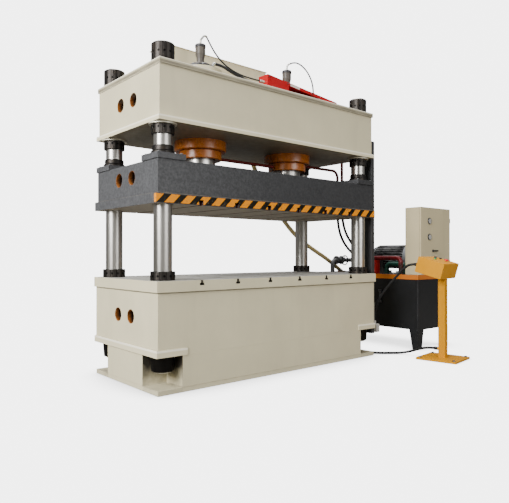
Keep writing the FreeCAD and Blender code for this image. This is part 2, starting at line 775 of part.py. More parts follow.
def make_gland(x):
    """The gland ring that guides the rod below the collar."""
    bore = ROD_RADIUS + SLIDE_FIT
    neck = GLAND_HEIGHT - GLAND_NECK_HEIGHT
    profile = [
        (bore, 0),
        (GLAND_RADIUS - GLAND_NECK_HEIGHT, 0),
        (GLAND_RADIUS, GLAND_NECK_HEIGHT),
        (GLAND_RADIUS, neck),
        (GLAND_NECK_RADIUS, neck),
        (GLAND_NECK_RADIUS, GLAND_HEIGHT),
        (bore, GLAND_HEIGHT),
    ]
    return turned(profile, Vector(x, 0, COLLAR_BOTTOM - GLAND_HEIGHT))


def make_piston_rod(x):
    """A rod standing in its socket on the slide, with its piston in the barrel."""
    low = PISTON_BOTTOM - SLIDE_TOP
    piston = BORE_RADIUS - SLIDE_FIT
    profile = [
        (0, 0),
        (ROD_RADIUS, 0),
        (ROD_RADIUS, low),
        (piston, low),
        (piston, low + PISTON_HEIGHT),
        (0, low + PISTON_HEIGHT),
    ]
    return turned(profile, Vector(x, 0, SLIDE_TOP))


def make_prefill_valve(x):
    """A prefill valve: bolted flange, foot, slim neck, round body and cap."""
    flange = VALVE_FLANGE_THICK
    foot = flange + VALVE_FOOT_THICK
    neck = foot + (VALVE_HEIGHT - foot) * 0.28
    body = foot + (VALVE_HEIGHT - foot) * 0.45
    cap = VALVE_HEIGHT - (VALVE_HEIGHT - foot) * 0.14
    profile = [
        (0, 0),
        (VALVE_FLANGE_RADIUS, 0),
        (VALVE_FLANGE_RADIUS, flange),
        (VALVE_FOOT_RADIUS, flange),
        (VALVE_FOOT_RADIUS, foot - 6),
        (VALVE_FOOT_RADIUS - 6, foot),
        (VALVE_NECK_RADIUS + 12, foot),
        (VALVE_NECK_RADIUS, foot + 14),
        (VALVE_NECK_RADIUS, neck),
        (VALVE_BODY_RADIUS - 4, body),
        (VALVE_BODY_RADIUS, body + 14),
        (VALVE_BODY_RADIUS, cap),
        (VALVE_CAP_RADIUS, cap),
        (VALVE_CAP_RADIUS, VALVE_HEIGHT - 5),
        (VALVE_CAP_RADIUS - 5, VALVE_HEIGHT),
        (0, VALVE_HEIGHT),
    ]
    return turned(profile, Vector(x, 0, BARREL_TOP))


# ---------------------------------------------------------------- on the crown

def make_overflow_tank():
    """The overflow oil tank behind the cylinders, with its bent outlet at the back."""
    top = CROWN_TOP + OVERFLOW_HEIGHT
    sheet = OVERFLOW_SHEET
    body = block(OVERFLOW_LEFT, OVERFLOW_RIGHT, OVERFLOW_FRONT, OVERFLOW_BACK, CROWN_TOP, top)
    body = softened(body, UP, 10).cut(block(
        OVERFLOW_LEFT + sheet, OVERFLOW_RIGHT - sheet,
        OVERFLOW_FRONT + sheet, OVERFLOW_BACK - sheet, CROWN_TOP + sheet, top - sheet,
    ))
    rim = OVERFLOW_LID_RIM
    lid = block(
        OVERFLOW_LEFT - rim, OVERFLOW_RIGHT + rim,
        OVERFLOW_FRONT - rim, OVERFLOW_BACK + rim, top, top + sheet,
    )
    lid = softened(lid, UP, rim)
    elbow = pipe(outlet_points(), RETURN_DIAMETER / 2, RETURN_DIAMETER)
    return fuse([body, lid, elbow])


def outlet_points():
    """The outlet elbow: straight back, then down in line with the return hose."""
    down = (RETURN_RUN[1] - RETURN_RUN[0]).normalize()
    corner = RETURN_RUN[0] - down * OUTLET_DROP
    return [Vector(corner.x, OVERFLOW_BACK - OVERFLOW_SHEET, corner.z), corner, RETURN_RUN[0]]


def make_pipe_guard():
    """The red folded guard over the pipes: its top slopes down to the right, its front is open."""
    high = CROWN_TOP + GUARD_LEFT_HEIGHT
    low = CROWN_TOP + GUARD_RIGHT_HEIGHT
    sheet = GUARD_SHEET
    corners = [
        Vector(GUARD_LEFT, GUARD_FRONT, CROWN_TOP),
        Vector(GUARD_RIGHT, GUARD_FRONT, CROWN_TOP),
        Vector(GUARD_RIGHT, GUARD_FRONT, low),
        Vector(GUARD_LEFT, GUARD_FRONT, high),
    ]
    inner = [
        Vector(GUARD_LEFT + sheet, GUARD_FRONT + sheet, CROWN_TOP - 1),
        Vector(GUARD_RIGHT + 1, GUARD_FRONT + sheet, CROWN_TOP - 1),
        Vector(GUARD_RIGHT + 1, GUARD_FRONT + sheet, low - sheet),
        Vector(GUARD_LEFT + sheet, GUARD_FRONT + sheet, high - sheet),
    ]
    edge = GUARD_LEFT + GUARD_FRONT_PANEL
    window = [
        Vector(edge, GUARD_FRONT - 1, CROWN_TOP - 1),
        Vector(GUARD_RIGHT + 1, GUARD_FRONT - 1, CROWN_TOP - 1),
        Vector(GUARD_RIGHT + 1, GUARD_FRONT - 1, low - GUARD_BAND),
        Vector(edge, GUARD_FRONT - 1, guard_top(edge) - GUARD_BAND),
    ]
    depth = GUARD_BACK - GUARD_FRONT
    body = extruded(corners, NORTH * depth)
    body = body.cut(extruded(inner, NORTH * (depth - sheet * 2)))
    return body.cut(extruded(window, NORTH * (sheet * 2)))


def guard_top(x):
    """The height of the guard's sloping top at x."""
    share = (x - GUARD_LEFT) / (GUARD_RIGHT - GUARD_LEFT)
    return CROWN_TOP + GUARD_LEFT_HEIGHT + share * (GUARD_RIGHT_HEIGHT - GUARD_LEFT_HEIGHT)


def make_manifold():
    """The steel manifold under the guard, with a raised port for each small line."""
    front = GUARD_FRONT + MANIFOLD_MARGIN
    back = GUARD_BACK - MANIFOLD_MARGIN
    right = MANIFOLD_LEFT + MANIFOLD_LENGTH
    body = block(MANIFOLD_LEFT, right, front, back, CROWN_TOP, CROWN_TOP + MANIFOLD_HEIGHT)
    body = softened(body, NORTH, 6)
    plugs = []
    for index in range(3):
        place = Vector(MANIFOLD_LEFT + 50 + index * 75, (front + back) / 2, CROWN_TOP + MANIFOLD_HEIGHT)
        plugs.append(rod(place, UP, 22, 19))
    return fuse([body] + plugs)


def pipe_tops():
    """The two steel lines from the manifold over the right end of the crown, then down."""
    start = MANIFOLD_LEFT + MANIFOLD_LENGTH
    middle = (GUARD_FRONT + GUARD_BACK) / 2
    pair = [middle + PIPE_PAIR / 2, middle - PIPE_PAIR / 2]
    lines = []
    for y, before, drop_y in zip(pair, PIPE_TURNS, PIPE_DROP_YS):
        lines.append([
            Vector(start, y, TOP_PIPE_Z),
            Vector(COLUMN_X - before, y, TOP_PIPE_Z),
            Vector(PIPE_DROP_X - PIPE_KNEE, drop_y, TOP_PIPE_Z),
            Vector(PIPE_DROP_X, drop_y, TOP_PIPE_Z),
            Vector(PIPE_DROP_X, drop_y, PIPE_DROP_END),
        ])
    return lines


def make_pressure_pipes():
    """The red steel lines: two from the crown, one from a cylinder, one between the glands."""
    pipes = [pipe(points, PIPE_RADIUS, PIPE_BEND) for points in pipe_tops()]
    points = [
        Vector(CYLINDER_X + BARREL_RADIUS, PORT_PIPE_Y, PORT_PIPE_Z),
        Vector(PIPE_DROP_X, PORT_PIPE_Y, PORT_PIPE_Z),
        Vector(PIPE_DROP_X, PORT_PIPE_Y, PIPE_DROP_END),
    ]
    collar = rod(Vector(CYLINDER_X, 0, COLLAR_BOTTOM), UP, CROWN_BOTTOM - COLLAR_BOTTOM, COLLAR_RADIUS)
    pipes.append(pipe(points, PIPE_RADIUS, PIPE_BEND).cut(collar))
    gland_z = COLLAR_BOTTOM - GLAND_HEIGHT / 2
    cross = rod(Vector(-CYLINDER_X, 0, gland_z), EAST, CYLINDER_X * 2, PIPE_RADIUS)
    glands = cylinder_bars(COLLAR_BOTTOM - GLAND_HEIGHT, COLLAR_BOTTOM, GLAND_RADIUS)
    pipes.append(cross.cut(glands))
    return pipes


# ---------------------------------------------------------------- hoses and cables

def ferrule(end, direction, radius, bore_radius, length=FERRULE_LENGTH):
    """A crimped hose end: a stepped sleeve from end along direction."""
    profile = [
        (0, 0),
        (bore_radius + 2, 0),
        (radius, 4),
        (radius, length * 0.55),
        (radius * 0.8, length * 0.6),
        (radius * 0.95, length * 0.66),
        (radius * 0.95, length),
        (0, length),
    ]
    return turned(profile, end, direction)


HOSE_START_Z = PIPE_DROP_END - FERRULE_LENGTH
HOSE_END_X = BLOCK_LEFT - FERRULE_LENGTH

PRESSURE_REAR = [
    Vector(PIPE_DROP_X, 36, HOSE_START_Z),
    Vector(PIPE_DROP_X, 36, 1690),
    Vector(1534, 39, 1560),
    Vector(1575, 46, 1440),
    Vector(1650, 56, 1335),
    Vector(1755, 71, 1252),
    Vector(1875, 92, 1185),
    Vector(2000, 120, 1125),
    Vector(2120, 149, 1076),
    Vector(HOSE_END_X, 160, PORT_Z),
]
PRESSURE_MIDDLE = [
    Vector(PIPE_DROP_X, -36, HOSE_START_Z),
    Vector(PIPE_DROP_X, -36, 1700),
    Vector(1538, -35, 1580),
    Vector(1586, -31, 1462),
    Vector(1662, -24, 1370),
    Vector(1765, -12, 1285),
    Vector(1885, 10, 1208),
    Vector(2000, 45, 1140),
    Vector(2115, 87, 1082),
    Vector(HOSE_END_X, 100, PORT_Z),
]
PRESSURE_FRONT = [
    Vector(PIPE_DROP_X, -208, HOSE_START_Z),
    Vector(PIPE_DROP_X, -208, 1690),
    Vector(1524, -206, 1560),
    Vector(1560, -196, 1440),
    Vector(1630, -178, 1340),
    Vector(1728, -148, 1262),
    Vector(1842, -104, 1200),
    Vector(1965, -46, 1140),
    Vector(2095, 17, 1083),
    Vector(HOSE_END_X, 40, PORT_Z),
]
RETURN_RUN = [
    Vector(OVERFLOW_RIGHT - OUTLET_INSET, OVERFLOW_BACK + OUTLET_REACH, CROWN_TOP - OUTLET_MOUTH_DROP),
    Vector(575, 702, 2560),
    Vector(690, 725, 2330),
    Vector(825, 748, 2125),
    Vector(975, 770, 1945),
    Vector(1135, 788, 1785),
    Vector(1295, 800, 1640),
    Vector(1440, 806, 1506),
    Vector(1640, 815, 1368),
    Vector(1930, 825, 1225),
    Vector(2230, 830, 1092),
    Vector(2462, 830, 954),
]
PILOT_LEFT = [
    Vector(-545, -28, 3362),
    Vector(-509, -44, 3285),
    Vector(-465, -65, 3204),
    Vector(-405, -95, 3122),
    Vector(-322, -136, 3052),
    Vector(-231, -186, 3003),
    Vector(-148, -250, 2969),
    Vector(-66, -300, 2950),
]
PILOT_RIGHT = [
    Vector(617, -45, 3352),
    Vector(633, -90, 3358),
    Vector(657, -156, 3325),
    Vector(683, -225, 3249),
    Vector(702, -278, 3150),
    Vector(712, -306, 3050),
    Vector(714, -310, 2975),
]
FEED_RUN = [
    Vector(-442, -33, 3108),
    Vector(-379, -69, 3096),
    Vector(-308, -112, 3042),
    Vector(-228, -168, 2990),
    Vector(-146, -230, 2940),
    Vector(-66, -300, 2905),
]
CONSOLE_RUN = [
    Vector(1640, -1002, 1055),
    Vector(1630, -957, 1056),
    Vector(1619, -908, 1034),
    Vector(1607, -852, 982),
    Vector(1590, -772, 893),
    Vector(1572, -688, 796),
    Vector(1557, -614, 698),
    Vector(1546, -558, 606),
    Vector(1541, -532, 525),
    Vector(1540, -520, 450),
    Vector(1540, -520, 385),
]
FLOOR_RUN = [
    Vector(1787, -1158, 115),
    Vector(1778, -1100, 114),
    Vector(1768, -1010, 96),
    Vector(1762, -915, 60),
    Vector(1745, -825, 28),
    Vector(1700, -748, 14),
    Vector(1632, -688, 14.2),
    Vector(1556, -632, 14),
    Vector(1496, -556, 14.2),
    Vector(1463, -465, 14),
    Vector(1454, -365, 18),
    Vector(1454, -270, 50),
    Vector(1456, -200, 96),
]


def end_fitting(run, radius, diameter, reach):
    """The crimped end that carries the last run of a hose straight on."""
    onward = (run[-1] - run[-2]).normalize()
    return ferrule(run[-1], onward, radius, diameter / 2, reach)


def outside_of(shape, wall):
    """What is left of a shape on the side of a wall that it comes from."""
    pieces = shape.cut(wall).Solids
    return max(pieces, key=lambda solid: solid.Volume)


def make_gooseneck(x, run):
    """A steel pipe from a valve's cap over to the start of its pilot hose."""
    top = Vector(x, 0, BARREL_TOP + VALVE_HEIGHT)
    onward = (run[1] - run[0]).normalize()
    sideways = Vector(onward.x, onward.y, 0).normalize()
    peak = top + UP * NECK_RISE + sideways * 4
    turn = run[0] - onward * NECK_REACH
    neck = pipe([top + UP * (NECK_NUT_HEIGHT / 2), peak, turn, run[0]], NECK_RADIUS, NECK_BEND)
    return fuse([rod(top, UP, NECK_NUT_HEIGHT, NECK_NUT_RADIUS), neck])


def make_fittings():
    """Hose ends on the steel lines, the valve block, the valves and the guard."""
    pieces = []
    beyond = FERRULE_LENGTH + 10
    block_face = block(BLOCK_LEFT, BLOCK_LEFT + 50, BLOCK_FRONT, BLOCK_BACK, DECK, DECK + BLOCK_HEIGHT)
    for run in (PRESSURE_REAR, PRESSURE_MIDDLE, PRESSURE_FRONT):
        pieces.append(ferrule(run[0], UP, FERRULE_RADIUS, HOSE_DIAMETER / 2))
        pieces.append(outside_of(end_fitting(run, FERRULE_RADIUS, HOSE_DIAMETER, beyond), block_face))
    end_wall = block(GUARD_LEFT, 0, GUARD_FRONT, GUARD_BACK, CROWN_TOP, guard_top(GUARD_LEFT))
    left_pilot = end_fitting(PILOT_LEFT, PILOT_END_RADIUS, PILOT_DIAMETER, GUARD_REACH)
    right_pilot = end_fitting(PILOT_RIGHT, PILOT_END_RADIUS, PILOT_DIAMETER, beyond)
    feed = end_fitting(FEED_RUN, FEED_END_RADIUS, FEED_DIAMETER, GUARD_REACH)
    pieces.append(outside_of(left_pilot, end_wall))
    pieces.append(outside_of(right_pilot, make_pipe_guard()))
    pieces.append(outside_of(feed, end_wall))
    pieces.append(make_gooseneck(-CYLINDER_X, PILOT_LEFT))
    pieces.append(make_gooseneck(CYLINDER_X, PILOT_RIGHT))
    onward = (FEED_RUN[1] - FEED_RUN[0]).normalize()
    corner = FEED_RUN[0] - onward * FEED_ELBOW
    foot = Vector(corner.x, corner.y, BARREL_TOP + VALVE_FLANGE_THICK)
    pieces.append(pipe([foot, corner, FEED_RUN[0]], FEED_DIAMETER / 2 + 2, FEED_ELBOW))
    return pieces


# ---------------------------------------------------------------- sensor post

def make_post():
    """The folded channel that carries the limit switches, open towards the back."""
    outer = block(POST_X, POST_X + POST_WIDTH, POST_FRONT, POST_BACK, POST_BOTTOM, POST_TOP)
    outer = softened(outer, UP, 5)
    inner = block(
        POST_X + POST_SHEET, POST_X + POST_WIDTH - POST_SHEET,
        POST_FRONT + POST_SHEET, POST_BACK + 1, POST_BOTTOM, POST_TOP,
    )
    return outer.cut(inner)


def make_brackets():
    """Angle brackets from the post to the crown's wall and the bed's wall, and the cable box."""
    pieces = []
    places = [
        (CROWN_HALF_LENGTH, CROWN_FLOOR_TOP + BRACKET_CROWN_RISE),
        (BED_HALF_LENGTH, TABLE_BOTTOM - BRACKET_DROP),
        (BED_HALF_LENGTH, LEDGE_TOP + BRACKET_RISE),
    ]
    for wall_x, z in places:
        arm = block(wall_x, POST_X, POST_FRONT + 20, POST_BACK - 20, z, z + 10)
        foot = block(wall_x, wall_x + 8, POST_FRONT + 20, POST_BACK - 20, z, z + 70)
        head = block(POST_X - 8, POST_X, POST_FRONT + 20, POST_BACK - 20, z, z + 70)
        pieces.append(fuse([arm, foot, head]))
    outer_x = POST_X + POST_WIDTH
    end = CONSOLE_RUN[-1]
    box = block(outer_x, outer_x + BOX_WIDTH, end.y - 40, end.y + 50, BOX_TOP - BOX_HEIGHT, BOX_TOP)
    box = softened(box, EAST, 8)
    gland = rod(Vector(end.x, end.y, BOX_TOP), UP, end.z - BOX_TOP, GLAND_FIT_RADIUS)
    pieces.append(fuse([box, gland]))
    inlet = FLOOR_RUN[-1]
    inward = (inlet - FLOOR_RUN[-2]).normalize()
    near = inlet.y + 35
    low = inlet.z - 30
    case = block(BED_HALF_LENGTH, BED_HALF_LENGTH + 56, near, near + 90, low, low + 110)
    gland = rod(inlet, inward, 60, GLAND_FIT_RADIUS)
    pieces.append(fuse([softened(case, EAST, 8), gland]))
    return pieces


def make_sensors():
    """Three round proximity switches on the face of the post that looks at the slide."""
    switches = []
    for z in SENSOR_HEIGHTS:
        start = Vector(POST_X - SENSOR_REACH, SENSOR_Y, z)
        switches.append(rod(start, EAST, SENSOR_REACH, SENSOR_RADIUS))
    return switches


def make_flag():
    """The steel flag on the slide's end that passes the switches."""
    near = SENSOR_Y - FLAG_WIDTH / 2
    far = SENSOR_Y + FLAG_WIDTH / 2
    wall = SLIDE_HALF_LENGTH
    arm = block(wall, FACE_HALF_LENGTH, near, far, FLAG_Z, FLAG_Z + FLAG_THICK)
    foot = block(wall, wall + FLAG_THICK / 2, near, far, FLAG_Z - 50, FLAG_Z)
    return fuse([arm, foot])


# ---------------------------------------------------------------- oil tank and what stands on it

def make_tank():
    """The open welded oil tank on its legs."""
    outer = block(TANK_LEFT, TANK_RIGHT, TANK_FRONT, TANK_BACK, TANK_BOTTOM, TANK_RIM)
    outer = softened(outer, UP, 12)
    sheet = TANK_SHEET
    inner = block(
        TANK_LEFT + sheet, TANK_RIGHT - sheet, TANK_FRONT + sheet, TANK_BACK - sheet,
        TANK_BOTTOM + sheet, TANK_RIM + 1,
    )
    return fuse([outer.cut(inner)] + make_legs())


def make_tank_lid():
    """The tank's top: a welded tray turned upside down, with the stub for the return hose."""
    rim = TANK_LID_OVERHANG
    outer = block(TANK_LEFT - rim, TANK_RIGHT + rim, TANK_FRONT - rim, TANK_BACK + rim, TANK_RIM, DECK)
    outer = softened(outer, UP, 6)
    wall = TANK_SHEET
    inner = block(
        TANK_LEFT + wall, TANK_RIGHT - wall, TANK_FRONT + wall, TANK_BACK - wall,
        TANK_RIM - 1, DECK - TANK_LID_SHEET,
    )
    return fuse([outer.cut(inner), make_return_stub()])


def make_legs():
    """Four tapered angle legs under the tank's corners."""
    legs = []
    top = TANK_BOTTOM
    for corner_x, away_x in ((TANK_LEFT, 1), (TANK_RIGHT, -1)):
        for corner_y, away_y in ((TANK_FRONT, 1), (TANK_BACK, -1)):
            side = [
                Vector(corner_x, corner_y, top),
                Vector(corner_x + away_x * LEG_TOP_WIDTH, corner_y, top),
                Vector(corner_x + away_x * LEG_FOOT_WIDTH, corner_y, 0),
                Vector(corner_x, corner_y, 0),
            ]
            end = [
                Vector(corner_x, corner_y, top),
                Vector(corner_x, corner_y + away_y * LEG_TOP_WIDTH, top),
                Vector(corner_x, corner_y + away_y * LEG_FOOT_WIDTH, 0),
                Vector(corner_x, corner_y, 0),
            ]
            pad = block(
                corner_x, corner_x + away_x * LEG_FOOT_WIDTH,
                corner_y, corner_y + away_y * LEG_FOOT_WIDTH, 0, LEG_THICK,
            )
            front = extruded(side, NORTH * (away_y * LEG_THICK))
            flank = extruded(end, EAST * (away_x * LEG_THICK))
            legs.append(fuse([front, flank, pad]))
    return legs


def motor_point(y):
    """A point on the motor's shaft line."""
    return Vector(MOTOR_X, y, MOTOR_Z)


def make_motor():
    """The finned motor housing on its feet, with its terminal box."""
    length = MOTOR_BACK - MOTOR_FRONT
    body = rod(motor_point(MOTOR_FRONT), NORTH, length, MOTOR_RADIUS)
    pieces = [body]
    for index in range(FIN_COUNT):
        fin = block(
            -FIN_THICK / 2, FIN_THICK / 2, MOTOR_FRONT + FIN_END, MOTOR_BACK - FIN_END,
            MOTOR_RADIUS - 3, MOTOR_RADIUS + FIN_HEIGHT,
        )
        pieces.append(round_motor(fin, index + 0.5, FIN_COUNT))
    for y in (MOTOR_FRONT + MOTOR_FOOT_LENGTH, MOTOR_BACK - MOTOR_FOOT_LENGTH * 2):
        far = y + MOTOR_FOOT_LENGTH
        wide = MOTOR_RADIUS - 5
        slim = MOTOR_RADIUS * 0.65
        pieces.append(block(MOTOR_X - wide, MOTOR_X + wide, y, far, DECK, DECK + MOTOR_FOOT_HEIGHT))
        web = DECK + MOTOR_FOOT_HEIGHT - MOTOR_FOOT_STEP
        near = y + MOTOR_FOOT_STEP
        far -= MOTOR_FOOT_STEP
        pieces.append(block(MOTOR_X - slim, MOTOR_X + slim, near, far, web, MOTOR_Z - MOTOR_FOOT_LENGTH))
    middle = (MOTOR_FRONT + MOTOR_BACK) / 2
    box = block(
        MOTOR_X + MOTOR_RADIUS * 0.7, MOTOR_X + MOTOR_RADIUS + TERMINAL_BOX_RISE,
        middle - TERMINAL_BOX_LENGTH / 2, middle + TERMINAL_BOX_LENGTH / 2,
        MOTOR_Z + TERMINAL_BOX_LIFT, MOTOR_Z + TERMINAL_BOX_LIFT + TERMINAL_BOX_HEIGHT,
    )
    pieces.append(softened(box, EAST, 10))
    return fuse(pieces).cut(rod(motor_point(MOTOR_FRONT), NORTH, length, SHAFT_RADIUS + SLIDE_FIT))


def round_motor(shape, place, count):
    """A shape drawn above the Y axis, turned to one of a number of places round the motor."""
    shape.rotate(Vector(0, 0, 0), NORTH, 360 * place / count)
    shape.translate(Vector(MOTOR_X, 0, MOTOR_Z))
    return shape


def make_fan_cover():
    """The domed fan cover with its radial air slots."""
    outer = FAN_COVER_RADIUS
    sheet = FAN_COVER_SHEET
    length = FAN_COVER_LENGTH
    profile = [
        (outer - sheet, 0),
        (outer, 0),
        (outer, length - 32),
        (outer - 9, length - 10),
        (outer - 32, length),
        (0, length),
        (0, length - sheet),
        (outer - 34, length - sheet),
        (outer - sheet - 7, length - 15),
        (outer - sheet, length - 34),
    ]
    cover = turned(profile, motor_point(MOTOR_FRONT), NORTH * -1)
    slots = []
    front = MOTOR_FRONT - length
    for index in range(FAN_SLOTS):
        slot = block(-5, 5, front - 1, front + sheet + 1, FAN_HUB_RADIUS - 6, outer - 47)
        slots.append(round_motor(slot, index, FAN_SLOTS))
    cover = cover.cut(slots)
    rim = tube(motor_point(MOTOR_FRONT - 8), NORTH, 8, outer - sheet + 1, MOTOR_RADIUS - 12)
    return fuse([cover, rim])


def make_rotor():
    """The motor's shaft with its fan inside the cover and the coupling inside the bell."""
    front = MOTOR_FRONT - FAN_COVER_LENGTH + 25
    back = MOTOR_BACK + BELL_LENGTH + 2
    shaft = rod(motor_point(front), NORTH, back - front, SHAFT_RADIUS)
    hub = rod(motor_point(front + 5), NORTH, 45, FAN_HUB_RADIUS)
    pieces = [shaft, hub]
    for index in range(FAN_BLADES):
        blade = block(-3, 3, front + 8, front + 46, FAN_HUB_RADIUS - 4, FAN_COVER_RADIUS - 43)
        pieces.append(round_motor(blade, index, FAN_BLADES))
    pieces.append(rod(motor_point(MOTOR_BACK + 12), NORTH, BELL_LENGTH - 18, COUPLING_RADIUS))
    return fuse(pieces)


def make_pump():
    """The bell housing with side windows, the round pump body and its ports."""
    hollow = COUPLING_RADIUS + 20
    bell = tube(motor_point(MOTOR_BACK), NORTH, BELL_LENGTH, BELL_RADIUS, hollow)
    wide = tube(motor_point(MOTOR_BACK), NORTH, 14, MOTOR_RADIUS - 5, hollow)
    for side in (-1, 1):
        near = MOTOR_X + side * 50
        far = MOTOR_X + side * MOTOR_RADIUS
        window = block(near, far, MOTOR_BACK + 26, MOTOR_BACK + BELL_LENGTH - 16, MOTOR_Z - 32, MOTOR_Z + 32)
        bell = bell.cut(window)
    start = MOTOR_BACK + BELL_LENGTH
    plate = rod(motor_point(start), NORTH, PUMP_PLATE_THICK, BELL_RADIUS)
    end = start + PUMP_LENGTH
    body_start = start + PUMP_PLATE_THICK
    body = rod(motor_point(body_start), NORTH, end - PUMP_HEAD_LENGTH - body_start + 2, PUMP_RADIUS)
    head = block(
        MOTOR_X - PUMP_HEAD_SIDE, MOTOR_X + PUMP_HEAD_SIDE, end - PUMP_HEAD_LENGTH, end,
        MOTOR_Z - PUMP_HEAD_SIDE - 10, MOTOR_Z + PUMP_HEAD_SIDE - 10,
    )
    head = softened(head, NORTH, 22)
    pump = fuse([bell, wide, plate, body, head])
    return pump.cut(rod(motor_point(start), NORTH, 12, SHAFT_RADIUS + SLIDE_FIT))


def make_valve_block():
    """The drilled steel block that the pressure hoses and solenoid valves sit on."""
    right = BLOCK_LEFT + BLOCK_WIDTH
    top = DECK + BLOCK_HEIGHT
    body = softened(block(BLOCK_LEFT, right, BLOCK_FRONT, BLOCK_BACK, DECK, top), NORTH, 5)
    plugs = [rod(Vector(BLOCK_LEFT - 8, y, DECK + 60), EAST, 10, 14) for y in PORT_YS]
    return fuse([body] + plugs)


def make_solenoid_valves():
    """Three directional valves on the block: a body, a coil at each end and its plug."""
    valves = []
    z = DECK + BLOCK_HEIGHT
    middle = BLOCK_LEFT + BLOCK_WIDTH / 2
    for y in PORT_YS:
        body = block(middle - 46, middle + 46, y - 38, y + 8, z, z + 56)
        left = rod(Vector(middle - 112, y - 15, z + 30), EAST, 67, 21)
        right = rod(Vector(middle + 45, y - 15, z + 30), EAST, 22, 21)
        plug = block(middle - 100, middle - 66, y - 29, y - 1, z + 48, z + 78)
        valves.append(fuse([body, left, right, plug]))
    return valves


def make_gauge():
    """The pressure gauge on its stem, facing the press."""
    x = BLOCK_LEFT + 28
    y = BLOCK_BACK - 24
    z = DECK + BLOCK_HEIGHT
    stem = rod(Vector(x, y, z), UP, 62, 8)
    profile = [(0, 0), (50, 0), (50, 26), (46, 30), (44, 26), (0, 26)]
    dial = turned(profile, Vector(x + 14, y, z + 105), EAST * -1)
    return fuse([stem, dial])


def make_line_pipes():
    """The red return line, the green pipe beside it and the pump's lines."""
    red_z = DECK + FLANGE_BLOCK_HEIGHT + RED_LINE_RADIUS
    red_x = FLANGE_BLOCK_X + FLANGE_BLOCK_LENGTH / 2
    red_end = MOTOR_FRONT - RED_LINE_END
    red = pipe([
        Vector(red_x, FLANGE_BLOCK_Y + FLANGE_BLOCK_WIDTH / 2, red_z),
        Vector(red_x, red_end, red_z),
        Vector(red_x, red_end, DECK),
    ], RED_LINE_RADIUS, RED_LINE_RADIUS * 2)
    green_x = MOTOR_X - GREEN_LINE_X
    green_front = MOTOR_FRONT - GREEN_LINE_FRONT
    green_back = green_front + GREEN_LINE_LENGTH
    green = pipe([
        Vector(green_x, green_back, DECK),
        Vector(green_x, green_back, DECK + GREEN_LINE_RISE),
        Vector(green_x, green_front, DECK + GREEN_LINE_RISE),
        Vector(green_x, green_front, DECK),
    ], GREEN_LINE_RADIUS, GREEN_LINE_RADIUS * 2)
    pump_end = MOTOR_BACK + BELL_LENGTH + PUMP_LENGTH
    valve_left = SHUTOFF_X - SHUTOFF_LENGTH / 2
    feed = pipe([
        Vector(MOTOR_X, pump_end, SHUTOFF_Z),
        Vector(MOTOR_X, SHUTOFF_Y, SHUTOFF_Z),
        Vector(SHUTOFF_X + SHUTOFF_LENGTH / 2, SHUTOFF_Y, SHUTOFF_Z),
    ], SUCTION_RADIUS, SUCTION_RADIUS * 2)
    drop = pipe([
        Vector(valve_left, SHUTOFF_Y, SHUTOFF_Z),
        Vector(valve_left - SUCTION_RADIUS * 2.5, SHUTOFF_Y, SHUTOFF_Z),
        Vector(valve_left - SUCTION_RADIUS * 2.5, SHUTOFF_Y, DECK),
    ], SUCTION_RADIUS, SUCTION_RADIUS * 2)
    port_y = pump_end - PUMP_HEAD_LENGTH / 2
    block_x = BLOCK_LEFT + BLOCK_WIDTH / 2
    port_z = MOTOR_Z - PUMP_PORT_DROP
    pressure = pipe([
        Vector(MOTOR_X - PUMP_HEAD_SIDE, port_y, port_z),
        Vector(block_x, port_y, port_z),
        Vector(block_x, BLOCK_BACK, port_z),
    ], PIPE_RADIUS, PIPE_RADIUS * 3)
    return [red, green, feed, drop, pressure]


def make_flange_block():
    """The clamped flange block that the red line rests on."""
    half = FLANGE_BLOCK_WIDTH / 2
    top = DECK + FLANGE_BLOCK_HEIGHT
    body = block(
        FLANGE_BLOCK_X + 14, FLANGE_BLOCK_X + FLANGE_BLOCK_LENGTH,
        FLANGE_BLOCK_Y - half, FLANGE_BLOCK_Y + half, DECK, top,
    )
    plate = block(
        FLANGE_BLOCK_X, FLANGE_BLOCK_X + 14,
        FLANGE_BLOCK_Y - half, FLANGE_BLOCK_Y + half, DECK + 10, top - 6,
    )
    bolts = []
    for y, z in four_corners(half - 18, FLANGE_BLOCK_HEIGHT / 2 - 32):
        place = Vector(FLANGE_BLOCK_X - 11, FLANGE_BLOCK_Y + y, DECK + FLANGE_BLOCK_HEIGHT / 2 + z)
        bolts.append(rod(place, EAST, 12, 11))
    return fuse([body, plate] + bolts)


def make_shutoff():
    """The shut-off valve of the suction line, with flanges and a stem bracket."""
    start = Vector(SHUTOFF_X - SHUTOFF_LENGTH / 2, SHUTOFF_Y, SHUTOFF_Z)
    length = SHUTOFF_LENGTH
    flange = SHUTOFF_FLANGE_RADIUS
    neck = SUCTION_RADIUS + 6
    barrel = SUCTION_RADIUS + 20
    profile = [
        (0, 0), (flange, 0), (flange, 16), (neck, 18), (barrel, 38), (barrel, length - 38),
        (neck, length - 18), (flange, length - 16), (flange, length), (0, length),
    ]
    body = turned(profile, start, EAST)
    centre = Vector(SHUTOFF_X, SHUTOFF_Y, SHUTOFF_Z)
    bonnet = tube(centre - NORTH * BONNET_LENGTH, NORTH, BONNET_LENGTH, 24, STEM_RADIUS + SLIDE_FIT)
    core = rod(centre - NORTH * (barrel - 4), NORTH, (barrel - 4) * 2, SUCTION_RADIUS)
    return fuse([body.cut(rod(centre - NORTH * BONNET_LENGTH, NORTH, BONNET_LENGTH, 20)), bonnet, core])


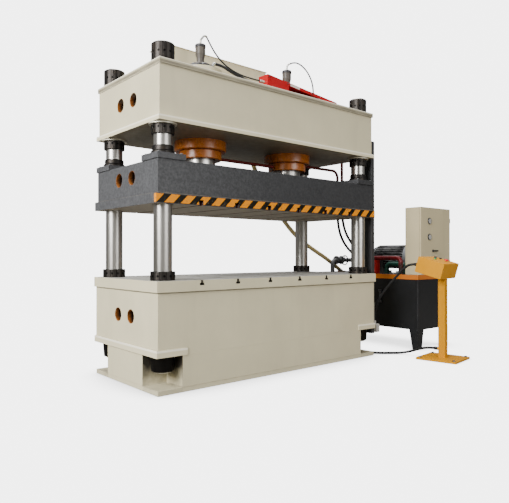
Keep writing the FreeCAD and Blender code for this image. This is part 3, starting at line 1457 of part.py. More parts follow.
def make_wheel():
    """The handwheel: rim, three spokes, hub and stem."""
    y = SHUTOFF_Y - BONNET_LENGTH - WHEEL_GAP
    centre = Vector(SHUTOFF_X, y, SHUTOFF_Z)
    ring = WHEEL_RADIUS - RIM_RADIUS * 2
    rim_profile = [
        (ring, -RIM_RADIUS / 2), (ring, RIM_RADIUS / 2), (ring + RIM_RADIUS / 2, RIM_RADIUS),
        (WHEEL_RADIUS - RIM_RADIUS / 2, RIM_RADIUS), (WHEEL_RADIUS, RIM_RADIUS / 2),
        (WHEEL_RADIUS, -RIM_RADIUS / 2), (WHEEL_RADIUS - RIM_RADIUS / 2, -RIM_RADIUS),
        (ring + RIM_RADIUS / 2, -RIM_RADIUS),
    ]
    rim = turned(rim_profile, centre, NORTH)
    hub = rod(centre - NORTH * 12, NORTH, 26, 16)
    stem_end = SHUTOFF_Y - SUCTION_RADIUS - 17
    stem = rod(centre, NORTH, stem_end - y, STEM_RADIUS)
    spokes = []
    for index in range(3):
        angle = math.radians(90 + 120 * index)
        outward = Vector(math.cos(angle), 0, math.sin(angle))
        spokes.append(rod(centre, outward, WHEEL_RADIUS - RIM_RADIUS, RIM_RADIUS * 0.75))
    return fuse([rim, hub, stem] + spokes)


def make_level_gauge():
    """The oil level glass on the tank's side, between two end blocks."""
    y = TANK_FRONT + LEVEL_SETBACK
    half = LEVEL_END_HALF
    rise = LEVEL_END_HEIGHT / 2
    left = TANK_LEFT - LEVEL_GLASS_REACH - LEVEL_END_HEIGHT / 2
    foot = Vector(TANK_LEFT - LEVEL_GLASS_REACH, y, LEVEL_BOTTOM)
    pieces = [rod(foot, UP, LEVEL_TOP - LEVEL_BOTTOM, LEVEL_GLASS_RADIUS)]
    for z in (LEVEL_BOTTOM, LEVEL_TOP):
        pieces.append(block(left, TANK_LEFT, y - half, y + half, z - rise, z + rise))
    return fuse(pieces)


def make_filler():
    """The filler's flanged neck seat and breather cap as one turned piece."""
    profile = [(0, 0.3), (46, 0.3), (46, 12), (34, 16), (34, 60), (44, 64), (44, 96), (38, 104), (0, 104)]
    return turned(profile, Vector(TANK_RIGHT - FILLER_SETBACK, TANK_BACK - FILLER_INSET, DECK))


def make_return_stub():
    """The slanted stub on the tank's top that the return hose is pushed on."""
    end = RETURN_RUN[-1]
    back = (RETURN_RUN[-2] - end).normalize()
    stub = rod(end, back * -1, 120, RETURN_DIAMETER / 2)
    stub = stub.common(block(end.x - 100, end.x + 200, end.y - 100, end.y + 100, DECK, end.z + 100))
    foot_x = end.x + (end.z - DECK) * abs(back.x / back.z)
    foot = rod(Vector(foot_x, end.y, DECK), UP, 12, RETURN_DIAMETER)
    return fuse([stub, foot])


# ---------------------------------------------------------------- control cabinet

def make_cabinet():
    """The open-fronted cabinet shell, with hinge knuckles and a mounting plate inside."""
    front = CABINET_FRONT + DOOR_THICK + FACE_GAP
    top = DECK + CABINET_HEIGHT
    sheet = CABINET_SHEET
    outer = softened(block(CABINET_LEFT, CABINET_RIGHT, front, CABINET_BACK, DECK, top), UP, 4)
    inner = block(
        CABINET_LEFT + sheet, CABINET_RIGHT - sheet, front - 1, CABINET_BACK - sheet,
        DECK + sheet, top - sheet,
    )
    shell = outer.cut(inner)
    back = CABINET_BACK - sheet
    plate = block(CABINET_LEFT + 40, CABINET_RIGHT - 40, back - 3, back, DECK + 60, top - 60)
    return fuse([shell, plate] + make_hinges())


HINGE_X = CABINET_RIGHT + 9
HINGE_Y = CABINET_FRONT + 9
HINGE_ZS = [120, 660]


def make_hinges():
    """The fixed hinge leaves with their pins, on the cabinet's right-hand side."""
    hinges = []
    for rise in HINGE_ZS:
        z = DECK + rise
        leaf = block(CABINET_RIGHT, CABINET_RIGHT + 3, HINGE_Y + 16, HINGE_Y + 50, z, z + 60)
        arm = block(CABINET_RIGHT + 0.5, CABINET_RIGHT + 3, HINGE_Y, HINGE_Y + 20, z, z + 28)
        barrel = rod(Vector(HINGE_X, HINGE_Y, z), UP, 28, 8)
        pin = rod(Vector(HINGE_X, HINGE_Y, z), UP, 60, 4)
        hinges.append(fuse([leaf, arm, barrel, pin]))
    return hinges


def make_door():
    """The cabinet door: a folded tray with meter holes, a latch hole and hinge knuckles."""
    top = DECK + CABINET_HEIGHT
    back = CABINET_FRONT + DOOR_THICK
    outer = softened(block(CABINET_LEFT, CABINET_RIGHT, CABINET_FRONT, back, DECK + 0.5, top), UP, 4)
    inner = block(
        CABINET_LEFT + 3, CABINET_RIGHT - 3, CABINET_FRONT + 3, back + 1, DECK + 3.5, top - 3,
    )
    door = outer.cut(inner)
    drills = []
    for rise in METER_HEIGHTS:
        place = Vector(METER_X, CABINET_FRONT - 1, DECK + rise)
        drills.append(rod(place, NORTH, 6, METER_RADIUS - METER_LIP))
    place = Vector(LATCH_X, CABINET_FRONT - 1, DECK + LATCH_HEIGHT)
    drills.append(rod(place, NORTH, 6, LATCH_SHAFT_RADIUS + SLIDE_FIT))
    door = door.cut(drills)
    knuckles = []
    for rise in HINGE_ZS:
        z = DECK + rise
        barrel = rod(Vector(HINGE_X, HINGE_Y, z + 28.4), UP, 31, 8)
        arm = block(CABINET_RIGHT - 6, HINGE_X, CABINET_FRONT, CABINET_FRONT + 3, z + 28.4, z + 59.4)
        knuckles.append(fuse([barrel, arm]).cut(rod(Vector(HINGE_X, HINGE_Y, z), UP, 60, 4.1)))
    return fuse([door] + knuckles)


def make_meters():
    """Two round panel meters in the door."""
    meters = []
    body = METER_RADIUS - METER_LIP - SEAT_FIT
    face = METER_FACE_THICK
    profile = [
        (0, 0),
        (METER_RADIUS - face / 2, 0),
        (METER_RADIUS, face / 2),
        (METER_RADIUS, face),
        (body, face),
        (body, METER_DEPTH),
        (0, METER_DEPTH),
    ]
    for rise in METER_HEIGHTS:
        meters.append(turned(profile, Vector(METER_X, CABINET_FRONT - face, DECK + rise), NORTH))
    return meters


def make_latch():
    """The door's lever latch with its shaft and the tongue behind the door."""
    y = CABINET_FRONT
    z = DECK + LATCH_HEIGHT
    centre = Vector(LATCH_X, y, z)
    rose = rod(centre + NORTH * -9, NORTH, 8.7, 17)
    shaft = rod(centre + NORTH * -9, NORTH, 32, LATCH_SHAFT_RADIUS)
    lever = softened(block(LATCH_X - 9, LATCH_X + 92, y - 24, y - 9, z - 9, z + 9), NORTH, 6)
    tongue = block(LATCH_X - 60, LATCH_X + 10, y + 10, y + 14, z - 10, z + 10)
    return fuse([rose, shaft, lever, tongue])


# ---------------------------------------------------------------- operator's stand

TURN = math.radians(STAND_TURN)
INWARD = Vector(-math.sin(TURN), math.cos(TURN), 0)
STAND = Vector(STAND_X, STAND_Y, 0)
CONSOLE = STAND + INWARD * CONSOLE_SHIFT + UP * CONSOLE_Z


def on_stand(shape):
    """A shape drawn about the origin, turned and moved to the stand."""
    shape.rotate(Vector(0, 0, 0), UP, STAND_TURN)
    shape.translate(STAND)
    return shape


def on_console(shape):
    """A shape drawn about the console's centre, tilted and moved there."""
    shape.rotate(Vector(0, 0, 0), EAST, CONSOLE_TILT)
    shape.rotate(Vector(0, 0, 0), UP, STAND_TURN)
    shape.translate(CONSOLE)
    return shape


def make_stand():
    """The floor plate and the square post, cut to the slope of the console's underside."""
    half_x = STAND_PLATE_WIDTH / 2
    half_y = STAND_PLATE_DEPTH / 2
    plate = softened(centred_block(half_x, half_y, 0, STAND_PLATE_THICK), UP, 8)
    holes = []
    for x, y in four_corners(half_x - 35, half_y - 35):
        holes.append(rod(Vector(x, y, 0), UP, STAND_PLATE_THICK, 9))
    plate = plate.cut(holes)
    half = STAND_POST_SIDE / 2
    post = softened(centred_block(half, half, STAND_PLATE_THICK, CONSOLE_Z), UP, 8)
    stand = on_stand(fuse([plate, post]))
    end = FLOOR_RUN[0]
    away = (FLOOR_RUN[1] - end).normalize()
    gland = rod(end - away * 60, away, 60, GLAND_FIT_RADIUS)
    return fuse([stand.cut(make_console_block()), gland])


def make_console_block():
    """The console's outer form."""
    half_x = CONSOLE_WIDTH / 2
    half_y = CONSOLE_DEPTH / 2
    half_z = CONSOLE_HEIGHT / 2
    return on_console(block(-half_x, half_x, -half_y, half_y, -half_z, half_z))


BUTTON_PLACES = {"start": (-40, 30), "estop": (75, -55), "down": (130, 40), "mode": (60, 70)}
BUTTON_RADIUS = 15
BUTTON_STEM = 8


def make_console():
    """The console: a sheet box with round edges, its button seats and its cable gland."""
    half_x = CONSOLE_WIDTH / 2
    half_y = CONSOLE_DEPTH / 2
    half_z = CONSOLE_HEIGHT / 2
    sheet = 3
    outer = softened(block(-half_x, half_x, -half_y, half_y, -half_z, half_z), EAST, 6)
    in_x = half_x - sheet
    in_y = half_y - sheet
    in_z = half_z - sheet
    outer = outer.cut(block(-in_x, in_x, -in_y, in_y, -in_z, in_z))
    drills = []
    for x, y in BUTTON_PLACES.values():
        drills.append(rod(Vector(x, y, half_z - sheet - 1), UP, sheet + 3, BUTTON_STEM + SLIDE_FIT))
    end = CONSOLE_RUN[0]
    away = (CONSOLE_RUN[1] - end).normalize()
    gland = rod(end - away * 70, away, 70, GLAND_FIT_RADIUS).cut(make_console_block())
    outside = max(gland.Solids, key=lambda solid: solid.CenterOfMass.y)
    return fuse([on_console(outer.cut(drills)), outside])


def make_button(name, cap_radius, cap_height, travel):
    """A push button: a cap that stands a little above the panel on a stem through it."""
    x, y = BUTTON_PLACES[name]
    top = CONSOLE_HEIGHT / 2
    stem = rod(Vector(x, y, top - 24), UP, 24 + travel + 2, BUTTON_STEM)
    cap = rod(Vector(x, y, top + travel), UP, cap_height, cap_radius)
    rims = [edge for edge in cap.Edges if isinstance(edge.Curve, Part.Circle)]
    top_rim = max(rims, key=lambda edge: edge.CenterOfMass.z)
    cap = cap.makeFillet(cap_height * 0.4, [top_rim])
    return on_console(fuse([stem, cap]))


def make_selector():
    """The two-position selector: a round knob with a raised grip bar."""
    x, y = BUTTON_PLACES["mode"]
    top = CONSOLE_HEIGHT / 2
    stem = rod(Vector(x, y, top - 24), UP, 26, BUTTON_STEM)
    knob = rod(Vector(x, y, top + FACE_GAP), UP, 8, 17)
    grip = softened(block(x - 4.5, x + 4.5, y - 16, y + 16, top + 6, top + 24), UP, 4)
    return on_console(fuse([stem, knob, grip]))


# ---------------------------------------------------------------- the nodes

write("bed_frame", [make_bed()])
write("bed_foot", [make_bed_foot()])
write("bed_table", [make_table()])
write("columns", [make_column(x, y) for x, y in COLUMN_PLACES])

bed_nuts = []
crown_nuts = []
for column_x, column_y in COLUMN_PLACES:
    lock = Vector(column_x, column_y, TABLE_TOP)
    foot = Vector(column_x, column_y, LEDGE_BOTTOM - FOOT_NUT_HEIGHT)
    washer = Vector(column_x, column_y, CROWN_BOTTOM - WASHER_THICK)
    below = washer - UP * CROWN_LOW_NUT_HEIGHT
    above = Vector(column_x, column_y, CROWN_TOP)
    bed_nuts.append(make_nut(lock, BED_NUT_HEIGHT, BED_NUT_RADIUS, BED_NUT_RADIUS))
    bed_nuts.append(make_nut(foot, FOOT_NUT_HEIGHT, BED_NUT_RADIUS, FOOT_NUT_TIP_RADIUS))
    crown_nuts.append(make_nut(below, CROWN_LOW_NUT_HEIGHT, CROWN_NUT_RADIUS, CROWN_NUT_RADIUS))
    crown_nuts.append(make_nut(above, CROWN_TOP_NUT_HEIGHT, CROWN_NUT_RADIUS, CROWN_NUT_RADIUS))
    crown_nuts.append(tube(washer, UP, WASHER_THICK, WASHER_RADIUS, COLUMN_HOLE))
write("bed_nuts", bed_nuts)
write("crown_nuts", crown_nuts)

write("crown_frame", [make_crown()])
write("crown_top_plate", [make_crown_lid()])
write("cylinder_barrels", [make_barrel(x) for x in CYLINDER_PLACES])
write("gland_rings", [make_gland(x) for x in CYLINDER_PLACES])
write("prefill_valves", [make_prefill_valve(x) for x in CYLINDER_PLACES])
write("overflow_tank", [make_overflow_tank()])
write("pipe_guard", [make_pipe_guard()])
write("crown_manifold", [make_manifold()])
write("pressure_pipes", make_pressure_pipes())
write("hose_fittings", make_fittings())

write("slide_frame", [make_slide()])
write("slide_face_plate", [make_face_plate()])
write("guide_flanges", [make_guide_flange(side, half) for side, half in four_corners(1, 1)])
write("guide_sleeves", [make_guide_sleeve(x, y) for x, y in COLUMN_PLACES])
write("warning_strip", [make_warning_strip()])
write("piston_rods", [make_piston_rod(x) for x in CYLINDER_PLACES])
write("switch_flag", [make_flag()])

write("sensor_post", [make_post()])
write("post_brackets", make_brackets())
write("limit_switches", make_sensors())

write("oil_tank", [make_tank()])
write("tank_top_plate", [make_tank_lid()])
write("motor_housing", [make_motor()])
write("fan_cover", [make_fan_cover()])
write("motor_rotor", [make_rotor()])
write("pump", [make_pump()])
write("valve_block", [make_valve_block()])
write("solenoid_valves", make_solenoid_valves())
write("pressure_gauge", [make_gauge()])
write("line_pipes", make_line_pipes())
write("flange_block", [make_flange_block()])
write("shutoff_valve", [make_shutoff()])
write("handwheel", [make_wheel()])
write("oil_level_gauge", [make_level_gauge()])
write("filler_breather", [make_filler()])

write("cabinet_body", [make_cabinet()])
write("cabinet_door", [make_door()])
write("panel_meters", make_meters())
write("door_latch", [make_latch()])

write("pedestal_stand", [make_stand()])
write("console_box", [make_console()])
write("start_button", [make_button("start", BUTTON_RADIUS, 10, 5)])
write("down_button", [make_button("down", BUTTON_RADIUS, 10, 5)])
write("estop_button", [make_button("estop", 22, 16, 8)])
write("mode_selector", [make_selector()])

free_run("pressure_hose_rear", PRESSURE_REAR, HOSE_DIAMETER)
free_run("pressure_hose_middle", PRESSURE_MIDDLE, HOSE_DIAMETER)
free_run("pressure_hose_front", PRESSURE_FRONT, HOSE_DIAMETER)
free_run("return_hose", RETURN_RUN, RETURN_DIAMETER)
free_run("pilot_hose_left", PILOT_LEFT, PILOT_DIAMETER)
free_run("pilot_hose_right", PILOT_RIGHT, PILOT_DIAMETER)
free_run("feed_hose", FEED_RUN, FEED_DIAMETER)
free_run("console_cable", CONSOLE_RUN, CONSOLE_CABLE_DIAMETER)
free_run("floor_cable", FLOOR_RUN, FLOOR_CABLE_DIAMETER)
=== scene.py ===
import math

import bmesh
import bpy
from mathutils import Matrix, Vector


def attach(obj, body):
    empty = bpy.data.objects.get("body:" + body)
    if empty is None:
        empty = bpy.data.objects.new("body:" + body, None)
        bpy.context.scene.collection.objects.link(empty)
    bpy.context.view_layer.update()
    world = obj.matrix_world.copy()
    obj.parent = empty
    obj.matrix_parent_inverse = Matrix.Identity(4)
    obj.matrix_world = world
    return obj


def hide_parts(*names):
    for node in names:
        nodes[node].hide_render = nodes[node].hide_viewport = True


# Looks of a four-column hydraulic press with its power unit and operator's stand.
# Metres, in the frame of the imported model: X along the press, +Y to its back, +Z up.

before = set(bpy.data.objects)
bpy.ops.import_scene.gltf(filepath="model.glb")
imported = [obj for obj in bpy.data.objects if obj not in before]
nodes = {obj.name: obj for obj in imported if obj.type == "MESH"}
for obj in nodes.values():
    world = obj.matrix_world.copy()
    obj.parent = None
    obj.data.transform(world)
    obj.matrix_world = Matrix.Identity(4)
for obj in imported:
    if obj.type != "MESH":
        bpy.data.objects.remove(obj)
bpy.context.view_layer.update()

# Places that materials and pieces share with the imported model
COLUMN_X = 1.3056
COLUMN_Y = 0.4604

BED_HALF_LENGTH = 1.430
BED_HALF_DEPTH = 0.594
BED_TOP = 0.852
BED_LIFT_Z = 0.618
FOOT_TOP = 0.040
LEDGE_BOTTOM = 0.313
LEDGE_TOP = 0.371
LEDGE_END_X = 1.144        # where a ledge ends along the front and back
NOTCH_X = 1.191            # walls of the open corners round the foot nuts
NOTCH_Y = 0.337
NOTCH_END_X = 1.425
NOTCH_END_Y = 0.590
TABLE_HALF_LENGTH = 1.445
TABLE_HALF_DEPTH = 0.610
TABLE_TOP = 0.946

SLIDE_HALF_LENGTH = 1.422
SLIDE_HALF_DEPTH = 0.577
SLIDE_LIFT_Z = 1.847
FACE_HALF_LENGTH = 1.446
FACE_HALF_DEPTH = 0.593
FACE_BOTTOM = 1.595
FACE_TOP = 1.677
FLANGE_TOP = 2.020

CROWN_HALF_LENGTH = 1.408
CROWN_HALF_DEPTH = 0.579
CROWN_LIP_BOTTOM = 2.280
CROWN_LIP_TOP = 2.326
CROWN_LIFT_Z = 2.542
CROWN_UPPER = 2.7          # above this, only what is near or on the crown's lid
LID_BOTTOM = 2.758
LID_TOP = 2.803

LIFT_RADIUS = 0.0625       # lifting holes, two in each end
LIFT_Y = 0.122

BAR_HOLE_HEIGHTS = (0.985, 2.243, 2.883)
FOOT_NUT_TOP = 0.32
WASHER_Z = 2.278
WASHER_HALF = 0.0061

CYLINDER_X = 0.6
VALVE_FLANGE_TOP = 3.040
VALVE_BODY_BOTTOM = 3.041
VALVE_BODY_TOP = 3.243

GUARD_FRONT = -0.380
GUARD_LEFT = -0.030
GUARD_LENGTH = 1.060
GUARD_HEIGHT = 0.207       # at its left end, over the lid
GUARD_FALL = 0.105         # of its top, from the left end to the right

HOSE_START_Z = 1.830
HOSE_END_X = 2.230
PORT_Z = 1.060
PIPE_DROP_X = 1.520
CABLE_BOX_LEFT = 1.515
CABLE_BOX_TOP = 0.6

MOTOR_X = 2.590            # the motor's axis runs along Y
MOTOR_Z = 1.135
FIN_COUNT = 28.0
FIN_REACH = 0.160
TRAY_RIM = 0.9165

STAND_X = 1.827
STAND_Y = -1.238
STAND_TURN = 8.5           # degrees

STRIPE_PITCH = 0.160       # from one yellow bar of the hazard band to the next
STRIPE_SHARE = 0.55        # of the pitch that is yellow
STRIPE_SHIFT = 0.013
STRIPE_LEAN = 1.0
STRIPE_MIDDLE = 0.041      # of the band's height, over the face's bottom

BEAD_SIZE = 0.007
BEAD_PITCH = 0.0065

FLOOR_GLOW = 5.0           # the white of floor and backdrop, as the camera sees it


# ---------------------------------------------------------------- camera

def make_camera():
    """The photograph's view: the eye is 1.17 m up, before the left front corner."""
    data = bpy.data.cameras.new("camera")
    data.sensor_width = 36.0
    data.lens = 38.2
    camera = bpy.data.objects.new("camera", data)
    camera.location = (-3.695, -4.481, 1.169)
    tilt = math.radians(0.296)
    heading = math.radians(40.366)
    camera.rotation_euler = (math.pi / 2 + tilt, 0, -heading)
    bpy.context.scene.collection.objects.link(camera)
    bpy.context.scene.camera = camera


make_camera()


# ---------------------------------------------------------------- cords

PRESSURE_REAR = [
    (PIPE_DROP_X, 0.036, HOSE_START_Z),
    (PIPE_DROP_X, 0.036, 1.690),
    (1.534, 0.039, 1.560),
    (1.575, 0.046, 1.440),
    (1.650, 0.056, 1.335),
    (1.755, 0.071, 1.252),
    (1.875, 0.092, 1.185),
    (2.000, 0.120, 1.125),
    (2.120, 0.149, 1.076),
    (HOSE_END_X, 0.160, PORT_Z),
]
PRESSURE_MIDDLE = [
    (PIPE_DROP_X, -0.036, HOSE_START_Z),
    (PIPE_DROP_X, -0.036, 1.700),
    (1.538, -0.035, 1.580),
    (1.586, -0.031, 1.462),
    (1.662, -0.024, 1.370),
    (1.765, -0.012, 1.285),
    (1.885, 0.010, 1.208),
    (2.000, 0.045, 1.140),
    (2.115, 0.087, 1.082),
    (HOSE_END_X, 0.100, PORT_Z),
]
PRESSURE_FRONT = [
    (PIPE_DROP_X, -0.208, HOSE_START_Z),
    (PIPE_DROP_X, -0.208, 1.690),
    (1.524, -0.206, 1.560),
    (1.560, -0.196, 1.440),
    (1.630, -0.178, 1.340),
    (1.728, -0.148, 1.262),
    (1.842, -0.104, 1.200),
    (1.965, -0.046, 1.140),
    (2.095, 0.017, 1.083),
    (HOSE_END_X, 0.040, PORT_Z),
]
RETURN_RUN = [
    (0.478, 0.690, 2.788),
    (0.575, 0.702, 2.560),
    (0.690, 0.725, 2.330),
    (0.825, 0.748, 2.125),
    (0.975, 0.770, 1.945),
    (1.135, 0.788, 1.785),
    (1.295, 0.800, 1.640),
    (1.440, 0.806, 1.506),
    (1.640, 0.815, 1.368),
    (1.930, 0.825, 1.225),
    (2.230, 0.830, 1.092),
    (2.462, 0.830, 0.954),
]
PILOT_LEFT = [
    (-0.545, -0.028, 3.362),
    (-0.509, -0.044, 3.285),
    (-0.465, -0.065, 3.204),
    (-0.405, -0.095, 3.122),
    (-0.322, -0.136, 3.052),
    (-0.231, -0.186, 3.003),
    (-0.148, -0.250, 2.969),
    (-0.066, -0.300, 2.950),
]
PILOT_RIGHT = [
    (0.617, -0.045, 3.352),
    (0.633, -0.090, 3.358),
    (0.657, -0.156, 3.325),
    (0.683, -0.225, 3.249),
    (0.702, -0.278, 3.150),
    (0.712, -0.306, 3.050),
    (0.714, -0.310, 2.975),
]
FEED_RUN = [
    (-0.442, -0.033, 3.108),
    (-0.379, -0.069, 3.096),
    (-0.308, -0.112, 3.042),
    (-0.228, -0.168, 2.990),
    (-0.146, -0.230, 2.940),
    (-0.066, -0.300, 2.905),
]
CONSOLE_RUN = [
    (1.640, -1.002, 1.055),
    (1.630, -0.957, 1.056),
    (1.619, -0.908, 1.034),
    (1.607, -0.852, 0.982),
    (1.590, -0.772, 0.893),
    (1.572, -0.688, 0.796),
    (1.557, -0.614, 0.698),
    (1.546, -0.558, 0.606),
    (1.541, -0.532, 0.525),
    (1.540, -0.520, 0.450),
    (1.540, -0.520, 0.385),
]
FLOOR_RUN = [
    (1.787, -1.158, 0.115),
    (1.778, -1.100, 0.114),
    (1.768, -1.010, 0.096),
    (1.762, -0.915, 0.060),
    (1.745, -0.825, 0.028),
    (1.700, -0.748, 0.014),
    (1.632, -0.688, 0.0142),
    (1.556, -0.632, 0.014),
    (1.496, -0.556, 0.0142),
    (1.463, -0.465, 0.014),
    (1.454, -0.365, 0.018),
    (1.454, -0.270, 0.050),
    (1.456, -0.200, 0.096),
]

# node: (route, diameter, length, stiffness, lay)
CORDS = {
    "pressure_hose_rear": (PRESSURE_REAR, 0.032, 1.184, "stiff", "hanging"),
    "pressure_hose_middle": (PRESSURE_MIDDLE, 0.032, 1.165, "stiff", "hanging"),
    "pressure_hose_front": (PRESSURE_FRONT, 0.032, 1.224, "stiff", "hanging"),
    "return_hose": (RETURN_RUN, 0.058, 2.792, "stiff", "hanging"),
    "pilot_hose_left": (PILOT_LEFT, 0.016, 0.724, "medium", "hanging"),
    "pilot_hose_right": (PILOT_RIGHT, 0.016, 0.522, "medium", "hanging"),
    "feed_hose": (FEED_RUN, 0.030, 0.508, "stiff", "hanging"),
    "console_cable": (CONSOLE_RUN, 0.028, 0.885, "limp", "hanging"),
    "floor_cable": (FLOOR_RUN, 0.027, 1.098, "medium", "loose"),
}


def make_cord(node, route, diameter, length, stiffness, lay):
    """A hose or cable as one smooth curve along its route, in place of its tube."""
    curve = bpy.data.curves.new(node + "_look", "CURVE")
    curve.dimensions = "3D"
    curve.resolution_u = 16
    curve.bevel_depth = 1.0  # each point's radius is then the cord's own, in metres
    curve.bevel_resolution = 6
    spline = curve.splines.new("NURBS")
    spline.points.add(len(route) - 1)
    for point, place in zip(spline.points, route):
        point.co = (*place, 1)
        point.radius = diameter / 2
    spline.order_u = 3
    spline.use_endpoint_u = True
    cord = bpy.data.objects.new(node + "_look", curve)
    bpy.context.scene.collection.objects.link(cord)
    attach(cord, "frame")
    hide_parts(node)
    return cord


cords = {node: make_cord(node, *facts) for node, facts in CORDS.items()}


# ---------------------------------------------------------------- materials

def rgb(red, green, blue):
    """A colour for a socket."""
    return (red, green, blue, 1)


def scaled(colour, factor):
    """A lighter or darker colour."""
    return (colour[0] * factor, colour[1] * factor, colour[2] * factor, 1)


def add_node(tree, kind, inputs=None, **settings):
    """A new node; inputs are constants or the outputs that feed them."""
    node = tree.nodes.new(kind)
    for key, value in settings.items():
        setattr(node, key, value)
    for socket, value in (inputs or {}).items():
        if isinstance(value, bpy.types.NodeSocket):
            tree.links.new(value, node.inputs[socket])
        else:
            node.inputs[socket].default_value = value
    return node


class Look:
    """One node material under construction."""

    def __init__(self, name):
        self.material = bpy.data.materials.new(name)
        self.material.use_nodes = True
        self.tree = self.material.node_tree
        self.shader = self.tree.nodes["Principled BSDF"]
        self.place = self.add("ShaderNodeTexCoord").outputs["Object"]
        self.facing = self.add("ShaderNodeNewGeometry").outputs["True Normal"]

    def add(self, kind, inputs=None, **settings):
        """A new node in this material."""
        return add_node(self.tree, kind, inputs, **settings)

    def sum(self, operation, first, second=0.0):
        """A Math node's result."""
        return self.add("ShaderNodeMath", {0: first, 1: second}, operation=operation).outputs[0]

    def times(self, first, *others):
        """A product."""
        for other in others:
            first = self.sum("MULTIPLY", first, other)
        return first

    def over(self, value, limit):
        """1 where a value is over a limit."""
        return self.sum("GREATER_THAN", value, limit)

    def under(self, value, limit):
        """1 where a value is under a limit."""
        return self.sum("LESS_THAN", value, limit)

    def apart(self, value, middle):
        """How far a value is from a middle."""
        return self.sum("ABSOLUTE", self.sum("SUBTRACT", value, middle))

    def squares(self, first, second):
        """The sum of two squares."""
        return self.sum("ADD", self.times(first, first), self.times(second, second))

    def sector(self, first, second, count):
        """How far through its sector an angle is, of count equal sectors in a turn."""
        turn = self.sum("DIVIDE", self.sum("ARCTAN2", first, second), math.tau)
        return self.sum("FRACT", self.times(self.sum("ADD", turn, 1.0), count))

    def spread(self, value, low, high, start=0.0, end=1.0):
        """A value from low to high laid over start to end, and held there beyond."""
        inputs = {
            "Value": value, "From Min": low, "From Max": high, "To Min": start, "To Max": end,
        }
        return self.add("ShaderNodeMapRange", inputs).outputs[0]

    def blend(self, share, first, second):
        """Two colours mixed by a share."""
        node = self.add("ShaderNodeMix", {0: share, 6: first, 7: second}, data_type="RGBA")
        return node.outputs[2]

    def noise(self, scale, detail, stretch=(1, 1, 1), rough=0.55):
        """Noise in metres, stretched along the object's axes."""
        place = self.place
        if stretch != (1, 1, 1):
            inputs = {"Vector": place, "Scale": stretch}
            place = self.add("ShaderNodeMapping", inputs).outputs[0]
        inputs = {"Vector": place, "Scale": scale, "Detail": detail, "Roughness": rough}
        return self.add("ShaderNodeTexNoise", inputs).outputs["Fac"]

    def patches(self, scale, detail, low, high, start=0.0, end=1.0, **noise):
        """Noise from low to high laid over start to end."""
        return self.spread(self.noise(scale, detail, **noise), low, high, start, end)

    def axis(self, name):
        """One coordinate of the place."""
        return self.add("ShaderNodeSeparateXYZ", {0: self.place}).outputs[name]

    def aside(self, name):
        """A coordinate's distance from the press's middle."""
        return self.sum("ABSOLUTE", self.axis(name))

    def within(self, half_x, half_y, low, high):
        """1 inside a box about the press's axis, 3 mm clear of its four sides."""
        return self.times(
            self.under(self.aside("X"), half_x - 0.003),
            self.under(self.aside("Y"), half_y - 0.003),
            self.over(self.axis("Z"), low + 0.0005),
            self.under(self.axis("Z"), high),
        )

    def turned_to(self, direction):
        """1 where the surface faces a direction, none of it past about 60 degrees."""
        inputs = {0: self.facing, 1: direction}
        dot = self.add("ShaderNodeVectorMath", inputs, operation="DOT_PRODUCT").outputs["Value"]
        return self.spread(dot, 0.5, 0.8)

    def soft_normal(self, radius):
        """The normal with sharp edges rounded off by radius."""
        return self.add("ShaderNodeBevel", {"Radius": radius}, samples=4).outputs[0]

    def edges(self, soft):
        """1 on a piece's edges, broken up by noise."""
        inputs = {0: soft, 1: self.facing}
        dot = self.add("ShaderNodeVectorMath", inputs, operation="DOT_PRODUCT").outputs["Value"]
        return self.times(self.spread(dot, 0.995, 0.65), self.patches(38.0, 4.0, 0.42, 0.62))

    def finish(self, colour, rough, height=None, strength=0.2, depth=0.001, soft=None, **fixed):
        """Feed the shader; fixed values go to the sockets named, with _ for a space."""
        self.tree.links.new(colour, self.shader.inputs["Base Color"])
        self.tree.links.new(rough, self.shader.inputs["Roughness"])
        for name, value in fixed.items():
            self.shader.inputs[name.replace("_", " ")].default_value = value
        normal = soft
        if height is not None:
            inputs = {"Height": height, "Strength": strength, "Distance": depth}
            if soft is not None:
                inputs["Normal"] = soft
            normal = self.add("ShaderNodeBump", inputs).outputs[0]
        if normal is not None:
            self.tree.links.new(normal, self.shader.inputs["Normal"])
        return self.material


def enamel(
    name, colour, worn, rough=0.42, peel=0.12, radius=0.004, dirt=0.12, overlay=None, gloss=0.3,
):
    """Sprayed enamel: cloudy colour, orange peel, dust that runs down, and worn edges."""
    look = Look(name)
    cloud = look.patches(2.2, 4.0, 0.3, 0.7)
    body = look.blend(cloud, scaled(colour, 0.93), scaled(colour, 1.05))
    streak = look.patches(9.0, 3.0, 0.52, 0.78, 0.0, dirt, stretch=(1, 1, 0.12))
    body = look.blend(streak, body, scaled(colour, 0.6))
    speck = look.patches(260.0, 1.0, 0.66, 0.74, 0.0, 0.35)
    body = look.blend(speck, body, scaled(colour, 0.72))
    soft = look.soft_normal(radius)
    body = look.blend(look.times(look.edges(soft), 0.8), body, worn)
    shine = look.patches(14.0, 3.0, 0.3, 0.7, rough - 0.06, rough + 0.1)
    if overlay:
        body, shine = overlay(look, body, shine)
    skin = look.sum("ADD", look.noise(420.0, 1.0), look.times(look.noise(60.0, 2.0), 0.8))
    return look.finish(body, shine, skin, peel, 0.0006, soft, Specular_IOR_Level=gloss)


